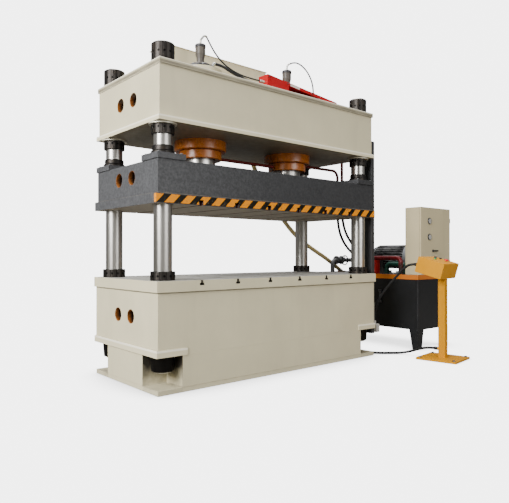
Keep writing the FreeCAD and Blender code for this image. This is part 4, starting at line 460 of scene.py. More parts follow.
def hammered(name, colour, worn, overlay):
    """Hammered dark paint: blotches of lighter grey, a dimpled skin, and a lighter copy on faces
    turned to -X as painted light.
    """
    look = Look(name)
    blot = look.patches(48.0, 5.0, 0.38, 0.66, rough=0.65)
    body = look.blend(blot, scaled(colour, 0.74), scaled(colour, 1.3))
    wide = look.patches(2.4, 3.0, 0.35, 0.7, 0.0, 0.35)
    body = look.blend(wide, body, scaled(colour, 1.3))
    # Painted light: faces turned to -X take a lighter copy of the paint.
    painted_lit_side = look.blend(blot, scaled(colour, 1.5), scaled(colour, 2.6))
    body = look.blend(look.turned_to((-1, 0, 0)), body, painted_lit_side)
    soft = look.soft_normal(0.004)
    body = look.blend(look.times(look.edges(soft), 0.7), body, worn)
    shine = look.patches(22.0, 4.0, 0.35, 0.65, 0.34, 0.56)
    body, shine = overlay(look, body, shine)
    inputs = {"Vector": look.place, "Scale": 95.0}
    cells = look.add("ShaderNodeTexVoronoi", inputs).outputs["Distance"]
    return look.finish(body, shine, cells, 0.35, 0.0012, soft, Specular_IOR_Level=0.3)


def steel(
    name, colour, rough, grain=(1, 1, 1), scratch=0.25, worn=None, radius=0.002, tint=None,
    overlay=None, fine=240.0,
):
    """Bare, plated or blackened steel with a grain of fine scratches and handling stains."""
    look = Look(name)
    lines = look.noise(fine, 3.0, grain)
    stain = look.patches(7.0, 4.0, 0.35, 0.7, stretch=grain)
    body = look.blend(stain, scaled(colour, 0.78), scaled(colour, 1.1))
    if tint:
        body = look.blend(look.patches(18.0, 3.0, 0.5, 0.7, 0.0, 0.6), body, tint)
    soft = look.soft_normal(radius) if radius else None
    if worn:
        body = look.blend(look.times(look.edges(soft), 0.85), body, worn)
    shine = look.spread(lines, 0.25, 0.75, rough - 0.07, rough + 0.12)
    if overlay:
        body, shine = overlay(look, body, shine)
    height = lines if scratch else None
    return look.finish(body, shine, height, scratch, 0.0003, soft, Metallic=1.0)


def rubber(name, colour, rough):
    """Hose rubber: dusty, slightly ribbed, with a few rubbed patches."""
    look = Look(name)
    dust = look.patches(45.0, 4.0, 0.5, 0.8, 0.0, 0.5)
    body = look.blend(dust, colour, scaled(colour, 1.9))
    rubbed = look.patches(11.0, 2.0, 0.55, 0.72, 0.0, 0.5)
    body = look.blend(rubbed, body, scaled(colour, 1.5))
    shine = look.patches(60.0, 2.0, 0.3, 0.7, rough - 0.08, rough + 0.14)
    inputs = {"Vector": look.place, "Scale": 150.0, "Distortion": 1.5}
    weave = look.add("ShaderNodeTexWave", inputs, bands_direction="DIAGONAL").outputs["Fac"]
    return look.finish(body, shine, weave, 0.2, 0.0005, Specular_IOR_Level=0.25)


def plastic(name, colour, rough=0.35):
    """Moulded plastic with a fine grain and grease marks."""
    look = Look(name)
    marks = look.patches(90.0, 3.0, 0.45, 0.7, 0.0, 0.4)
    body = look.blend(marks, colour, scaled(colour, 1.5))
    shine = look.patches(120.0, 2.0, 0.3, 0.7, rough - 0.08, rough + 0.15)
    grain = look.noise(700.0, 1.0)
    return look.finish(body, shine, grain, 0.12, 0.0003, look.soft_normal(0.0012))


CREAM = rgb(0.62, 0.56, 0.378)
CREAM_WORN = rgb(0.30, 0.26, 0.19)
PRIMER = rgb(0.50, 0.17, 0.035)
GREY = rgb(0.034, 0.0345, 0.036)
GREY_WORN = rgb(0.24, 0.24, 0.24)
ORANGE = rgb(0.52, 0.145, 0.014)
RED = rgb(0.36, 0.003, 0.006)
YELLOW = rgb(0.58, 0.245, 0.0)
SMOKE = rgb(0.51, 0.44, 0.27)
BLACK = rgb(0.012, 0.012, 0.012)
STAIN = rgb(0.07, 0.055, 0.04)


# Overlays: each takes a look with its colour and roughness so far, and returns both

def lifting_holes(height, end):
    """An overlay for the lifting holes: orange-brown primer on the cut edge, and painted shade
    that turns them near black deeper within.
    """
    def overlay(look, body, shine):
        y = look.sum("SUBTRACT", look.aside("Y"), LIFT_Y)
        z = look.sum("SUBTRACT", look.axis("Z"), height)
        inside = look.under(look.sum("SQRT", look.squares(y, z)), LIFT_RADIUS + 0.0012)
        along = look.aside("X")
        share = look.times(inside, look.over(along, end - 0.2))
        rust = look.patches(30.0, 4.0, 0.4, 0.65)
        rust = look.blend(rust, scaled(PRIMER, 0.9), scaled(PRIMER, 0.4))
        # Painted shade: near black deeper inside the hole.
        deep_shade = look.spread(along, end - 0.004, end - 0.045)
        rust = look.blend(deep_shade, rust, rgb(0.012, 0.006, 0.004))
        return look.blend(share, body, rust), shine
    return overlay


def machined_top(look, body, shine):
    """The bed's table: its top is bare machined steel with old oil on it, and its T-slots are dark
    inside as painted shade.
    """
    up = look.turned_to((0, 0, 1))
    grain = look.noise(120.0, 3.0, (0.12, 1, 1))
    metal = look.blend(
        look.spread(grain, 0.3, 0.7), rgb(0.44, 0.43, 0.39), rgb(0.60, 0.58, 0.52),
    )
    oil = look.patches(5.0, 5.0, 0.5, 0.75, 0.0, 0.6)
    metal = look.blend(oil, metal, rgb(0.17, 0.155, 0.12))
    # Painted shade: the inside of the T-slots is near black.
    slots = look.within(TABLE_HALF_LENGTH, TABLE_HALF_DEPTH, 0.5, TABLE_TOP - 0.0005)
    body = look.blend(slots, body, rgb(0.040, 0.034, 0.026))
    polish = look.spread(grain, 0.3, 0.7, 0.3, 0.5)
    return look.blend(up, body, metal), look.blend(up, shine, polish)


def machined_face(look, body, shine):
    """The slide's face: bare below, brownish with old oil."""
    down = look.turned_to((0, 0, -1))
    grain = look.noise(110.0, 3.0, (0.12, 1, 1))
    metal = look.blend(
        look.spread(grain, 0.3, 0.7), rgb(0.16, 0.13, 0.09), rgb(0.26, 0.22, 0.16),
    )
    slots = look.within(FACE_HALF_LENGTH, FACE_HALF_DEPTH, FACE_BOTTOM, FACE_TOP + 0.003)
    body = look.blend(slots, body, rgb(0.05, 0.008, 0.004))
    polish = look.spread(grain, 0.3, 0.7, 0.35, 0.5)
    return look.blend(down, body, metal), look.blend(down, shine, polish)


def column_reflection_lines(look, body, shine):
    """The columns and rods: thin dark upright lines as painted reflections."""
    # Painted reflections: thin dark upright lines.
    lines = look.patches(26.0, 2.0, 0.54, 0.66, 0.0, 0.6, stretch=(1, 1, 0.004))
    return look.blend(lines, body, rgb(0.16, 0.15, 0.135)), shine


def lip(look, body, half_x, half_y, low, high, light, line=0.014):
    """A paler lip outside a box's walls, with a painted highlight along its upper edge."""
    x = look.over(look.aside("X"), half_x + 0.001)
    y = look.over(look.aside("Y"), half_y + 0.001)
    z = look.axis("Z")
    share = look.times(look.sum("MAXIMUM", x, y), look.over(z, low), look.under(z, high + 0.001))
    # Painted highlight: a near-white line along the lip's upper edge.
    highlight = look.spread(z, high - line - 0.004, high - line + 0.004)
    paint = look.blend(highlight, scaled(CREAM, light), rgb(1.0, 0.95, 0.80))
    return look.blend(look.times(share, 0.75), body, paint)


def shade_line(look, body, low, high):
    """A dark line of painted shade round a wall, between two heights."""
    z = look.axis("Z")
    share = look.times(look.over(z, low), look.under(z, high))
    broken = look.patches(4.0, 3.0, 0.3, 0.6, 0.45, 0.8)
    return look.blend(look.times(share, broken), body, rgb(0.14, 0.12, 0.085))


def slide_sheen(look, body, shine):
    """The slide: primer in its holes, and a painted sheen that makes the left end of its front
    paler.
    """
    front = look.turned_to((0, -1, 0))
    # Painted sheen: the front grows paler towards its left end.
    sheen_share = look.times(front, look.spread(look.axis("X"), 0.1, -1.3, 0.0, 0.9))
    blot = look.patches(48.0, 5.0, 0.38, 0.66, rough=0.65)
    body = look.blend(sheen_share, body, look.blend(blot, scaled(GREY, 1.25), scaled(GREY, 2.3)))
    # Painted shade: a dark line in the corner just above the face plate.
    body = shade_line(look, body, FACE_TOP, FACE_TOP + 0.008)
    return lifting_holes(SLIDE_LIFT_Z, SLIDE_HALF_LENGTH)(look, body, shine)


def bed_primer_and_shade(look, body, shine):
    """The bed: primer in its holes, a paler ledge with a painted highlight, a line of painted
    shade under the table, and painted shade in the open corners round the foot nuts, darker
    towards the bottom.
    """
    under_ledge = LEDGE_BOTTOM - 0.0002
    body, shine = lifting_holes(BED_LIFT_Z, BED_HALF_LENGTH)(look, body, shine)
    body = lip(look, body, BED_HALF_LENGTH, BED_HALF_DEPTH, under_ledge, LEDGE_TOP, 1.12)
    # Painted shade: a dark line under the table's overhanging edge.
    body = shade_line(look, body, BED_TOP - 0.012, BED_TOP)
    # The two nodes of the bed meet at the ledge's bottom: no worn edge along that line
    meeting = look.spread(look.apart(look.axis("Z"), LEDGE_BOTTOM), 0.010, 0.006)
    between = look.under(look.aside("X"), LEDGE_END_X - 0.004)
    body = look.blend(look.times(meeting, between), body, CREAM)
    corner = look.times(
        look.over(look.aside("X"), NOTCH_X - 0.002),
        look.over(look.aside("Y"), NOTCH_Y - 0.002),
        look.under(look.axis("Z"), under_ledge),
    )
    # Painted shade: the open corners round the foot nuts darken towards the bottom.
    height = look.sum("ADD", look.axis("Z"), look.patches(9.0, 3.0, 0.3, 0.7, -0.05, 0.05))
    corner_shade = look.times(corner, look.spread(height, 0.03, 0.23, 0.15, 0.97))
    return look.blend(corner_shade, body, rgb(0.022, 0.019, 0.015)), shine


def nut_faces(look, body, shine):
    """The nuts: spanner grooves and bar holes darkened as painted shade, the lowest nuts near
    black, pale washers.
    """
    x = look.sum("SUBTRACT", look.aside("X"), COLUMN_X)
    y = look.sum("SUBTRACT", look.aside("Y"), COLUMN_Y)
    share = look.sector(y, x, 12.0)
    across = look.apart(share, 0.5)
    # Painted shade in the spanner grooves, and a lighter band midway between them.
    body = look.blend(look.spread(across, 0.10, 0.06, 0.0, 0.8), body, rgb(0.008, 0.007, 0.006))
    body = look.blend(look.spread(across, 0.42, 0.5, 0.0, 0.5), body, rgb(0.11, 0.10, 0.09))
    for middle in BAR_HOLE_HEIGHTS:
        z = look.sum("SUBTRACT", look.axis("Z"), middle)
        run = look.times(look.sum("SUBTRACT", share, 0.22), 0.052)
        hole_shade = look.spread(look.squares(z, run), 0.00011, 0.00008)
        body = look.blend(hole_shade, body, rgb(0.004, 0.004, 0.004))
    low = look.under(look.axis("Z"), FOOT_NUT_TOP)
    body = look.blend(low, body, rgb(0.012, 0.011, 0.010))
    washer = look.under(look.apart(look.axis("Z"), WASHER_Z), WASHER_HALF)
    body = look.blend(washer, body, rgb(0.78, 0.74, 0.62))
    return body, look.sum("MAXIMUM", shine, look.times(washer, 0.6))


def barrel_cream_and_reflections(look, body, shine):
    """The barrels: cream where they pass the crown's lid, and darker upright streaks below as
    painted reflections.
    """
    # Painted reflections: dark upright streaks on the glossy orange.
    reflection_streaks = look.patches(16.0, 3.0, 0.45, 0.7, 0.0, 0.6, stretch=(1, 1, 0.1))
    body = look.blend(reflection_streaks, body, scaled(ORANGE, 0.55))
    return look.blend(look.over(look.axis("Z"), CROWN_UPPER), body, scaled(CREAM, 0.8)), shine


def fin_shade(look, body, shine):
    """The motor: black between its cooling fins as painted shade, with darker patches."""
    x = look.sum("SUBTRACT", look.axis("X"), MOTOR_X)
    z = look.sum("SUBTRACT", look.axis("Z"), MOTOR_Z)
    # Painted shade: black in the gaps between the fins.
    fin_gap_shade = look.spread(look.apart(look.sector(x, z, FIN_COUNT), 0.5), 0.16, 0.22)
    fin_gap_shade = look.times(fin_gap_shade, look.under(look.sum("SQRT", look.squares(x, z)), FIN_REACH))
    darkening = look.patches(7.0, 4.0, 0.42, 0.62)
    body = look.blend(darkening, body, rgb(0.05, 0.05, 0.048))
    return look.blend(fin_gap_shade, body, BLACK), shine


def near_start(look, route):
    """1 within 45 mm of a cable's first point."""
    inputs = {0: look.place, 1: route[0]}
    offset = look.add("ShaderNodeVectorMath", inputs, operation="DISTANCE").outputs["Value"]
    return look.under(offset, 0.045)


def black_glands(look, body, shine):
    """The stand: its two cable glands are black rubber."""
    gland = look.sum("MAXIMUM", near_start(look, CONSOLE_RUN), near_start(look, FLOOR_RUN))
    return look.blend(gland, body, BLACK), shine


def pale_box(look, body, shine):
    """The sensor post's brackets: the cable box at the foot is pale grey."""
    box = look.times(
        look.under(look.axis("Z"), CABLE_BOX_TOP), look.over(look.axis("X"), CABLE_BOX_LEFT),
    )
    return look.blend(box, body, rgb(0.50, 0.49, 0.45)), shine


def crown_primer_and_shade(look, body, shine):
    """The crown: holes in primer, paler lips with painted highlights, painted shade along the
    lid's side, and a darker brown underside that is painted shade.
    """
    walls = (CROWN_HALF_LENGTH, CROWN_HALF_DEPTH)
    body, shine = lifting_holes(CROWN_LIFT_Z, CROWN_HALF_LENGTH)(look, body, shine)
    body = lip(look, body, *walls, CROWN_LIP_BOTTOM, CROWN_LIP_TOP, 1.25)
    body = lip(look, body, *walls, LID_BOTTOM - 0.001, LID_TOP, 0.6, 0.006)
    # Painted shade: a dark band along the side of the lid.
    body = shade_line(look, body, LID_BOTTOM + 0.005, LID_TOP - 0.019)
    # Painted shade: faces turned down are darker brown.
    down = look.times(look.turned_to((0, 0, -1)), look.patches(1.6, 4.0, 0.25, 0.75, 0.7, 0.95))
    return look.blend(down, body, rgb(0.17, 0.145, 0.11)), shine


def shaded_upper_seam(look, body, shine):
    """The crown's seams: the one under the lid is darkened brown as painted shade under the lid's
    edge.
    """
    above = look.over(look.axis("Z"), CROWN_UPPER)
    return look.blend(look.times(above, 0.45), body, rgb(0.16, 0.135, 0.095)), shine


def dark_caps(look, body, shine):
    """The prefill valves: black caps and flanges on grey bodies."""
    cap = look.over(look.axis("Z"), VALVE_BODY_TOP)
    flange = look.under(look.axis("Z"), VALVE_BODY_BOTTOM)
    return look.blend(look.sum("MAXIMUM", cap, flange), body, rgb(0.03, 0.03, 0.032)), shine


def tray(look, body, shine):
    """The oil tank's tray: its top is black."""
    up = look.turned_to((0, 0, 1))
    black_top = look.patches(6.0, 5.0, 0.4, 0.65)
    black_top = look.blend(black_top, rgb(0.015, 0.015, 0.016), rgb(0.06, 0.055, 0.05))
    body = look.blend(look.over(look.axis("Z"), TRAY_RIM), body, rgb(0.20, 0.18, 0.13))
    wet = look.patches(8.0, 4.0, 0.4, 0.7, 0.12, 0.5)
    return look.blend(up, body, black_top), look.blend(up, shine, wet)


def line_colours(look, body, shine):
    """The lines on the tank: one red, darker low down, one dark green, the rest bare."""
    left = look.under(look.axis("X"), 2.2)
    front = look.under(look.axis("Y"), 0.0)
    red = look.times(left, front)
    middle = look.under(look.apart(look.axis("X"), 2.27), 0.045)
    green = look.times(middle, look.under(look.axis("Y"), -0.13))
    body = look.blend(red, body, rgb(0.11, 0.003, 0.005))
    height = look.sum("ADD", look.axis("Z"), look.patches(14.0, 4.0, 0.3, 0.7, -0.04, 0.04))
    darkening = look.spread(height, 1.05, 1.0)
    body = look.blend(look.times(red, darkening), body, rgb(0.022, 0.010, 0.009))
    return look.blend(green, body, rgb(0.012, 0.06, 0.042)), shine


def striped(name):
    """The hazard band: slanted yellow and black bars with scuffed paint."""
    look = Look(name)
    z = look.sum("SUBTRACT", look.axis("Z"), FACE_BOTTOM + STRIPE_MIDDLE)
    run = look.sum("SUBTRACT", look.axis("X"), look.times(z, STRIPE_LEAN))
    start = STRIPE_SHARE / 2 + (STRIPE_SHIFT / STRIPE_PITCH) + 20.0
    share = look.sum("FRACT", look.sum("ADD", look.sum("DIVIDE", run, STRIPE_PITCH), start))
    yellow = look.spread(look.sum("SUBTRACT", STRIPE_SHARE, share), -0.008, 0.008)
    paint = look.blend(yellow, rgb(0.010, 0.009, 0.006), rgb(0.80, 0.265, 0.0))
    scuff = look.patches(34.0, 5.0, 0.56, 0.72, 0.0, 0.7)
    paint = look.blend(scuff, paint, rgb(0.10, 0.085, 0.06))
    shine = look.patches(30.0, 3.0, 0.3, 0.7, 0.34, 0.55)
    grain = look.noise(300.0, 2.0)
    soft = look.soft_normal(0.001)
    return look.finish(paint, shine, grain, 0.15, 0.0004, soft, Specular_IOR_Level=0.08)


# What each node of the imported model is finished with
FINISHES = [
    (enamel("cream_bed", CREAM, CREAM_WORN, overlay=bed_primer_and_shade), "bed_frame", "bed_foot"),
    (enamel("cream_crown", CREAM, CREAM_WORN, overlay=crown_primer_and_shade),
        "crown_frame", "crown_top_plate"),
    (enamel("cream_table", CREAM, CREAM_WORN, overlay=machined_top), "bed_table"),
    (enamel("cream_overflow", CREAM, CREAM_WORN, dirt=0.3), "overflow_tank"),
    (enamel("cream_cabinet", SMOKE, scaled(SMOKE, 0.5), peel=0.2),
        "cabinet_body", "cabinet_door"),
    (hammered("grey_slide", GREY, GREY_WORN, slide_sheen), "slide_frame", "guide_flanges"),
    (hammered("grey_face", GREY, GREY_WORN, machined_face), "slide_face_plate"),
    (steel("ground_steel", rgb(0.55, 0.53, 0.49), 0.30, (1, 1, 0.001), 0.0, radius=0,
           overlay=column_reflection_lines, fine=40.0), "columns", "piston_rods"),
    (steel("blackened_steel", rgb(0.040, 0.036, 0.033), 0.46, worn=rgb(0.22, 0.20, 0.18),
           tint=STAIN, overlay=nut_faces), "bed_nuts", "crown_nuts"),
    (steel("dark_sleeves", rgb(0.035, 0.032, 0.030), 0.42, worn=rgb(0.26, 0.24, 0.22),
           tint=STAIN), "guide_sleeves"),
    (enamel("orange_enamel", ORANGE, rgb(0.62, 0.30, 0.10), 0.26, dirt=0.0, gloss=0.6,
            overlay=barrel_cream_and_reflections), "cylinder_barrels", "gland_rings"),
    (enamel("valve_grey", rgb(0.085, 0.074, 0.062), rgb(0.30, 0.28, 0.25), 0.4, dirt=0.6,
            overlay=dark_caps), "prefill_valves"),
    (enamel("red_guard", RED, rgb(0.16, 0.03, 0.02), 0.3, radius=0.002), "pipe_guard"),
    (steel("manifold_steel", rgb(0.36, 0.36, 0.36), 0.4, (0.1, 1, 1), worn=rgb(0.6, 0.6, 0.6)),
        "crown_manifold", "valve_block", "pump"),
    (enamel("maroon_pipes", rgb(0.15, 0.016, 0.014), rgb(0.3, 0.2, 0.15), 0.32),
        "pressure_pipes"),
    (steel("zinc_plate", rgb(0.50, 0.50, 0.47), 0.34, worn=rgb(0.7, 0.7, 0.68),
           tint=rgb(0.46, 0.41, 0.26)),
        "hose_fittings", "switch_flag", "filler_breather", "pressure_gauge"),
    (enamel("black_post", rgb(0.035, 0.035, 0.036), rgb(0.18, 0.17, 0.16), 0.4,
            overlay=pale_box), "sensor_post", "post_brackets"),
    (enamel("black_tank", rgb(0.012, 0.0125, 0.0135), rgb(0.09, 0.08, 0.07), 0.34, peel=0.25,
            dirt=0.0), "oil_tank"),
    (enamel("orange_tray", ORANGE, rgb(0.2, 0.1, 0.05), 0.36, overlay=tray), "tank_top_plate"),
    (enamel("silver_motor", rgb(0.34, 0.345, 0.35), rgb(0.6, 0.6, 0.6), 0.34, dirt=0.9,
            overlay=fin_shade), "motor_housing"),
    (enamel("grey_cowl", rgb(0.22, 0.23, 0.24), rgb(0.12, 0.12, 0.12), 0.4, dirt=0.4),
        "fan_cover"),
    (steel("shaft_steel", rgb(0.42, 0.42, 0.42), 0.35, worn=rgb(0.6, 0.6, 0.6)), "motor_rotor"),
    (enamel("line_paint", rgb(0.10, 0.10, 0.10), rgb(0.16, 0.14, 0.12), 0.3,
            overlay=line_colours), "line_pipes"),
    (enamel("red_block", rgb(0.30, 0.006, 0.006), rgb(0.14, 0.04, 0.03), 0.36), "flange_block"),
    (enamel("grey_valve", rgb(0.06, 0.062, 0.065), rgb(0.3, 0.3, 0.3), 0.36, dirt=0.4),
        "shutoff_valve", "oil_level_gauge"),
    (plastic("black_plastic", rgb(0.018, 0.018, 0.019)), "limit_switches", "handwheel",
        "door_latch", "mode_selector", "down_button", "solenoid_valves", "panel_meters"),
    (plastic("green_plastic", rgb(0.01, 0.26, 0.06), 0.25), "start_button"),
    (plastic("red_plastic", rgb(0.55, 0.01, 0.01), 0.22), "estop_button"),
    (enamel("yellow_stand", YELLOW, rgb(0.30, 0.16, 0.02), 0.34, peel=0.18, gloss=0.12,
            overlay=black_glands), "pedestal_stand", "console_box"),
    (striped("hazard_band"), "warning_strip"),
]
for finish, *names in FINISHES:
    for name in names:
        mesh = nodes[name].data
        mesh.materials.clear()
        mesh.materials.append(finish)

black_rubber = rubber("black_rubber", rgb(0.007, 0.007, 0.007), 0.42)
pale_hose = enamel(
    "pale_hose", rgb(0.60, 0.48, 0.22), rgb(0.4, 0.34, 0.22), 0.3, peel=0.05, dirt=0.3,
)
hose_shader = pale_hose.node_tree.nodes["Principled BSDF"]
hose_shader.inputs["Transmission Weight"].default_value = 0.12
for node, cord in cords.items():
    cord.data.materials.append(pale_hose if node == "return_hose" else black_rubber)


# ---------------------------------------------------------------- small pieces

def keep(name, build, finish, body, smooth=False):
    """A new piece from a finished bmesh, on its body and in its material slot."""
    bmesh.ops.recalc_face_normals(build, faces=build.faces)
    mesh = bpy.data.meshes.new(name)
    build.to_mesh(mesh)
    build.free()
    if smooth:
        mesh.shade_smooth()
    mesh.materials.append(finish)
    piece = bpy.data.objects.new(name, mesh)
    bpy.context.scene.collection.objects.link(piece)
    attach(piece, body)


def band(build, lower, upper):
    """Faces between two loops of as many vertices."""
    for index in range(len(lower)):
        after = (index + 1) % len(lower)
        build.faces.new((lower[index], lower[after], upper[after], upper[index]))


def stack(build, rings, place, direction, sides):
    """Rings of (radius, height) joined into one closed turned form."""
    turn = Vector(direction).to_track_quat("Z", "Y")
    loops = []
    for radius, height in rings:
        loop = []
        for index in range(sides):
            angle = math.tau * index / sides
            spot = Vector((radius * math.cos(angle), radius * math.sin(angle), height))
            loop.append(build.verts.new(Vector(place) + turn @ spot))
        loops.append(loop)
    for low, high in zip(loops[:-1], loops[1:]):
        band(build, low, high)
    build.faces.new(loops[0][::-1])
    build.faces.new(loops[-1])


def hex_bolts(name, places, radius):
    """Upright hexagon heads on washers, on the frame."""
    washer = [(1.5, 0), (1.5, 0.2), (1.4, 0.26)]
    head = [(1.0, 0.2), (1.12, 0.28), (1.12, 0.8), (0.95, 0.92)]
    build = bmesh.new()
    for place in places:
        for rings, sides in ((washer, 20), (head, 6)):
            rings = [(radius * out, radius * up) for out, up in rings]
            stack(build, rings, place, (0, 0, 1), sides)
    keep(name, build, screw_steel, "frame")


def socket_screws(name, places, direction, radius, body):
    """Cap screws with a round socket."""
    outline = [(1.0, 0), (1.0, 0.85), (0.9, 1.0), (0.56, 1.0), (0.5, 0.92), (0.48, 0.45)]
    build = bmesh.new()
    for place in places:
        rings = [(radius * out, radius * up) for out, up in outline]
        stack(build, rings, place, direction, 18)
    keep(name, build, screw_steel, body)


def bead(build, start, end, inward, upward):
    """A rippled weld bead in the corner between a wall and a plate."""
    start, end = Vector(start), Vector(end)
    inward, upward = Vector(inward), Vector(upward)
    steps = max(2, int((end - start).length / BEAD_PITCH * 2))
    before = None
    for index in range(steps + 1):
        spot = start.lerp(end, index / steps)
        ripple = 1.0 if index % 2 else 0.86
        ripple *= 1.0 + 0.10 * math.sin(index * 0.37) * math.sin(index * 0.113 + 1.3)
        reach = BEAD_SIZE * ripple
        loop = [
            build.verts.new(spot - inward * 0.0004 - upward * 0.0004),
            build.verts.new(spot + upward * reach),
            build.verts.new(spot + inward * reach * 0.62 + upward * reach * 0.62),
            build.verts.new(spot + inward * reach),
        ]
        if before:
            band(build, before, loop)
        else:
            build.faces.new(loop[::-1])
        before = loop
    build.faces.new(before)


def bead_round(build, half_x, half_y, z, upward):
    """A bead all round a box's four walls."""
    up = (0, 0, upward)
    bead(build, (-half_x, -half_y, z), (half_x, -half_y, z), (0, -1, 0), up)
    bead(build, (half_x, half_y, z), (-half_x, half_y, z), (0, 1, 0), up)
    bead(build, (-half_x, half_y, z), (-half_x, -half_y, z), (-1, 0, 0), up)
    bead(build, (half_x, -half_y, z), (half_x, half_y, z), (1, 0, 0), up)


def make_beads():
    """The weld seams of the crown, the bed and the slide."""
    build = bmesh.new()
    bead_round(build, CROWN_HALF_LENGTH, CROWN_HALF_DEPTH, CROWN_LIP_TOP, 1)
    bead_round(build, CROWN_HALF_LENGTH, CROWN_HALF_DEPTH, LID_BOTTOM, -1)
    keep("crown_seams", build, seam_highlight_and_shade, "frame", True)
    build = bmesh.new()
    up = (0, 0, 1)
    for side in (-1, 1):
        x = side * BED_HALF_LENGTH
        bead(build, (x, -BED_HALF_DEPTH, LEDGE_TOP), (x, BED_HALF_DEPTH, LEDGE_TOP),
             (side, 0, 0), up)
        for half in (-1, 1):
            y = half * BED_HALF_DEPTH
            bead(build, (x, y, LEDGE_TOP), (side * LEDGE_END_X, y, LEDGE_TOP), (0, half, 0), up)
            corner = (side * NOTCH_X, half * NOTCH_Y, FOOT_TOP)
            bead(build, corner, (side * NOTCH_X, half * NOTCH_END_Y, FOOT_TOP), (side, 0, 0), up)
            bead(build, corner, (side * NOTCH_END_X, half * NOTCH_Y, FOOT_TOP), (0, half, 0), up)
    keep("bed_seams", build, bpy.data.materials["cream_bed"], "frame", True)
    build = bmesh.new()
    bead_round(build, SLIDE_HALF_LENGTH, SLIDE_HALF_DEPTH, FACE_TOP + 0.0005, 1)
    keep("slide_seams", build, bpy.data.materials["grey_slide"], "slide", True)


def plate(build, corners, thick):
    """A thin plate from four corners, thickened along its own normal with a small chamfer."""
    corners = [Vector(corner) for corner in corners]
    normal = (corners[1] - corners[0]).cross(corners[3] - corners[0]).normalized()
    middle = sum(corners, Vector()) / 4
    low = [build.verts.new(corner) for corner in corners]
    side = [build.verts.new(corner + normal * thick * 0.6) for corner in corners]
    inset = [corner + (middle - corner).normalized() * thick * 0.6 for corner in corners]
    high = [build.verts.new(corner + normal * thick) for corner in inset]
    band(build, low, side)
    band(build, side, high)
    build.faces.new(low[::-1])
    build.faces.new(high)


def make_dial(name, centre, right, radius, body, needle=-40):
    """An upright dial: pale disc, scale over 270 degrees and pointer; right spans its face."""
    centre, right, up = Vector(centre), Vector(right), Vector((0, 0, 1))
    out = right.cross(up)
    build = bmesh.new()
    stack(build, [(radius, 0), (radius, 0.0006), (radius * 0.985, 0.0009)], centre, out, 40)
    keep(name + "_face", build, dial_white, body)
    build = bmesh.new()

    def bar(angle, near, far, half):
        along = right * math.sin(angle) + up * math.cos(angle)
        across = right * math.cos(angle) - up * math.sin(angle)
        base = centre + out * 0.0008
        plate(build, [
            base + along * near - across * half, base + along * near + across * half,
            base + along * far + across * half, base + along * far - across * half,
        ], 0.0006)

    ticks = 24
    for index in range(ticks + 1):
        angle = math.radians(-135 + 270 * index / ticks)
        near, half = (0.68, 0.022) if index % 4 == 0 else (0.78, 0.012)
        bar(angle, radius * near, radius * 0.9, radius * half)
    bar(math.radians(needle), -radius * 0.2, radius * 0.72, radius * 0.03)
    hub = [(radius * 0.1, 0.0009), (radius * 0.1, 0.003), (radius * 0.07, 0.0036)]
    stack(build, hub, centre, out, 16)
    keep(name + "_scale", build, dial_black, body)


def make_flange_screws():
    """Four cap screws in each of the slide's corner flanges."""
    places = []
    for side in (-1, 1):
        for half in (-1, 1):
            for x in (1.181, 1.404):
                for y in (0.345, 0.561):
                    places.append((side * x, half * y, FLANGE_TOP))
    socket_screws("flange_screws", places, (0, 0, 1), 0.012, "slide")


def make_valve_bolts():
    """Eight bolts round each prefill valve's flange."""
    places = []
    for x in (-CYLINDER_X, CYLINDER_X):
        for index in range(8):
            angle = math.tau * (index + 0.5) / 8
            places.append((x + 0.125 * math.cos(angle), 0.125 * math.sin(angle), VALVE_FLANGE_TOP))
    hex_bolts("valve_bolts", places, 0.013)


def make_stand_anchors():
    """The bolts that hold the operator's stand to the floor."""
    turn = math.radians(STAND_TURN)
    places = []
    for x in (-0.177, 0.177):
        for y in (-0.190, 0.190):
            places.append((STAND_X + x * math.cos(turn) - y * math.sin(turn),
                           STAND_Y + x * math.sin(turn) + y * math.cos(turn), 0.020))
    hex_bolts("stand_anchors", places, 0.013)


def make_guard_trim():
    """The pipe guard's front: its screws, and a small bare plate under its sloping top."""
    places = [(-0.012, 2.985), (-0.012, 2.820), (0.250, 2.965), (0.250, 2.820),
              (0.62, 2.929), (0.98, 2.894)]
    places = [(x, GUARD_FRONT, z) for x, z in places]
    socket_screws("guard_screws", places, (0, -1, 0), 0.007, "frame")
    corners = []
    for x, drop in ((0.29, 0.030), (0.43, 0.030), (0.43, 0.006), (0.29, 0.006)):
        fall = (x - GUARD_LEFT) / GUARD_LENGTH * GUARD_FALL
        corners.append((x, GUARD_FRONT, LID_TOP + GUARD_HEIGHT - fall - drop))
    build = bmesh.new()
    plate(build, corners, 0.0012)
    keep("guard_plate", build, plate_pale, "frame")


# The crown's weld beads: a paler cream as a painted highlight; the one under the lid is darkened
# as painted shade.
seam_highlight_and_shade = enamel(
    "seam_highlight_and_shade", rgb(0.86, 0.80, 0.64), CREAM, 0.3, peel=0.0, overlay=shaded_upper_seam,
)
screw_steel = steel("screw_steel", rgb(0.13, 0.13, 0.13), 0.38, worn=rgb(0.5, 0.5, 0.48))
dial_white = plastic("dial_white", rgb(0.42, 0.41, 0.38), 0.3)
dial_black = plastic("dial_black", BLACK, 0.5)
plate_pale = enamel("plate_pale", rgb(0.62, 0.60, 0.55), rgb(0.3, 0.3, 0.3), 0.35)
make_beads()
make_flange_screws()
make_valve_bolts()
make_stand_anchors()
make_guard_trim()
for index, z in enumerate((1.585, 1.385)):
    make_dial("meter_%d" % index, (2.356, -0.7561, z), (1, 0, 0), 0.031, "door",
              needle=-60 + index * 35)
make_dial("gauge", (2.3159, 0.196, 1.225), (0, -1, 0), 0.043, "frame")


# ---------------------------------------------------------------- stage and light

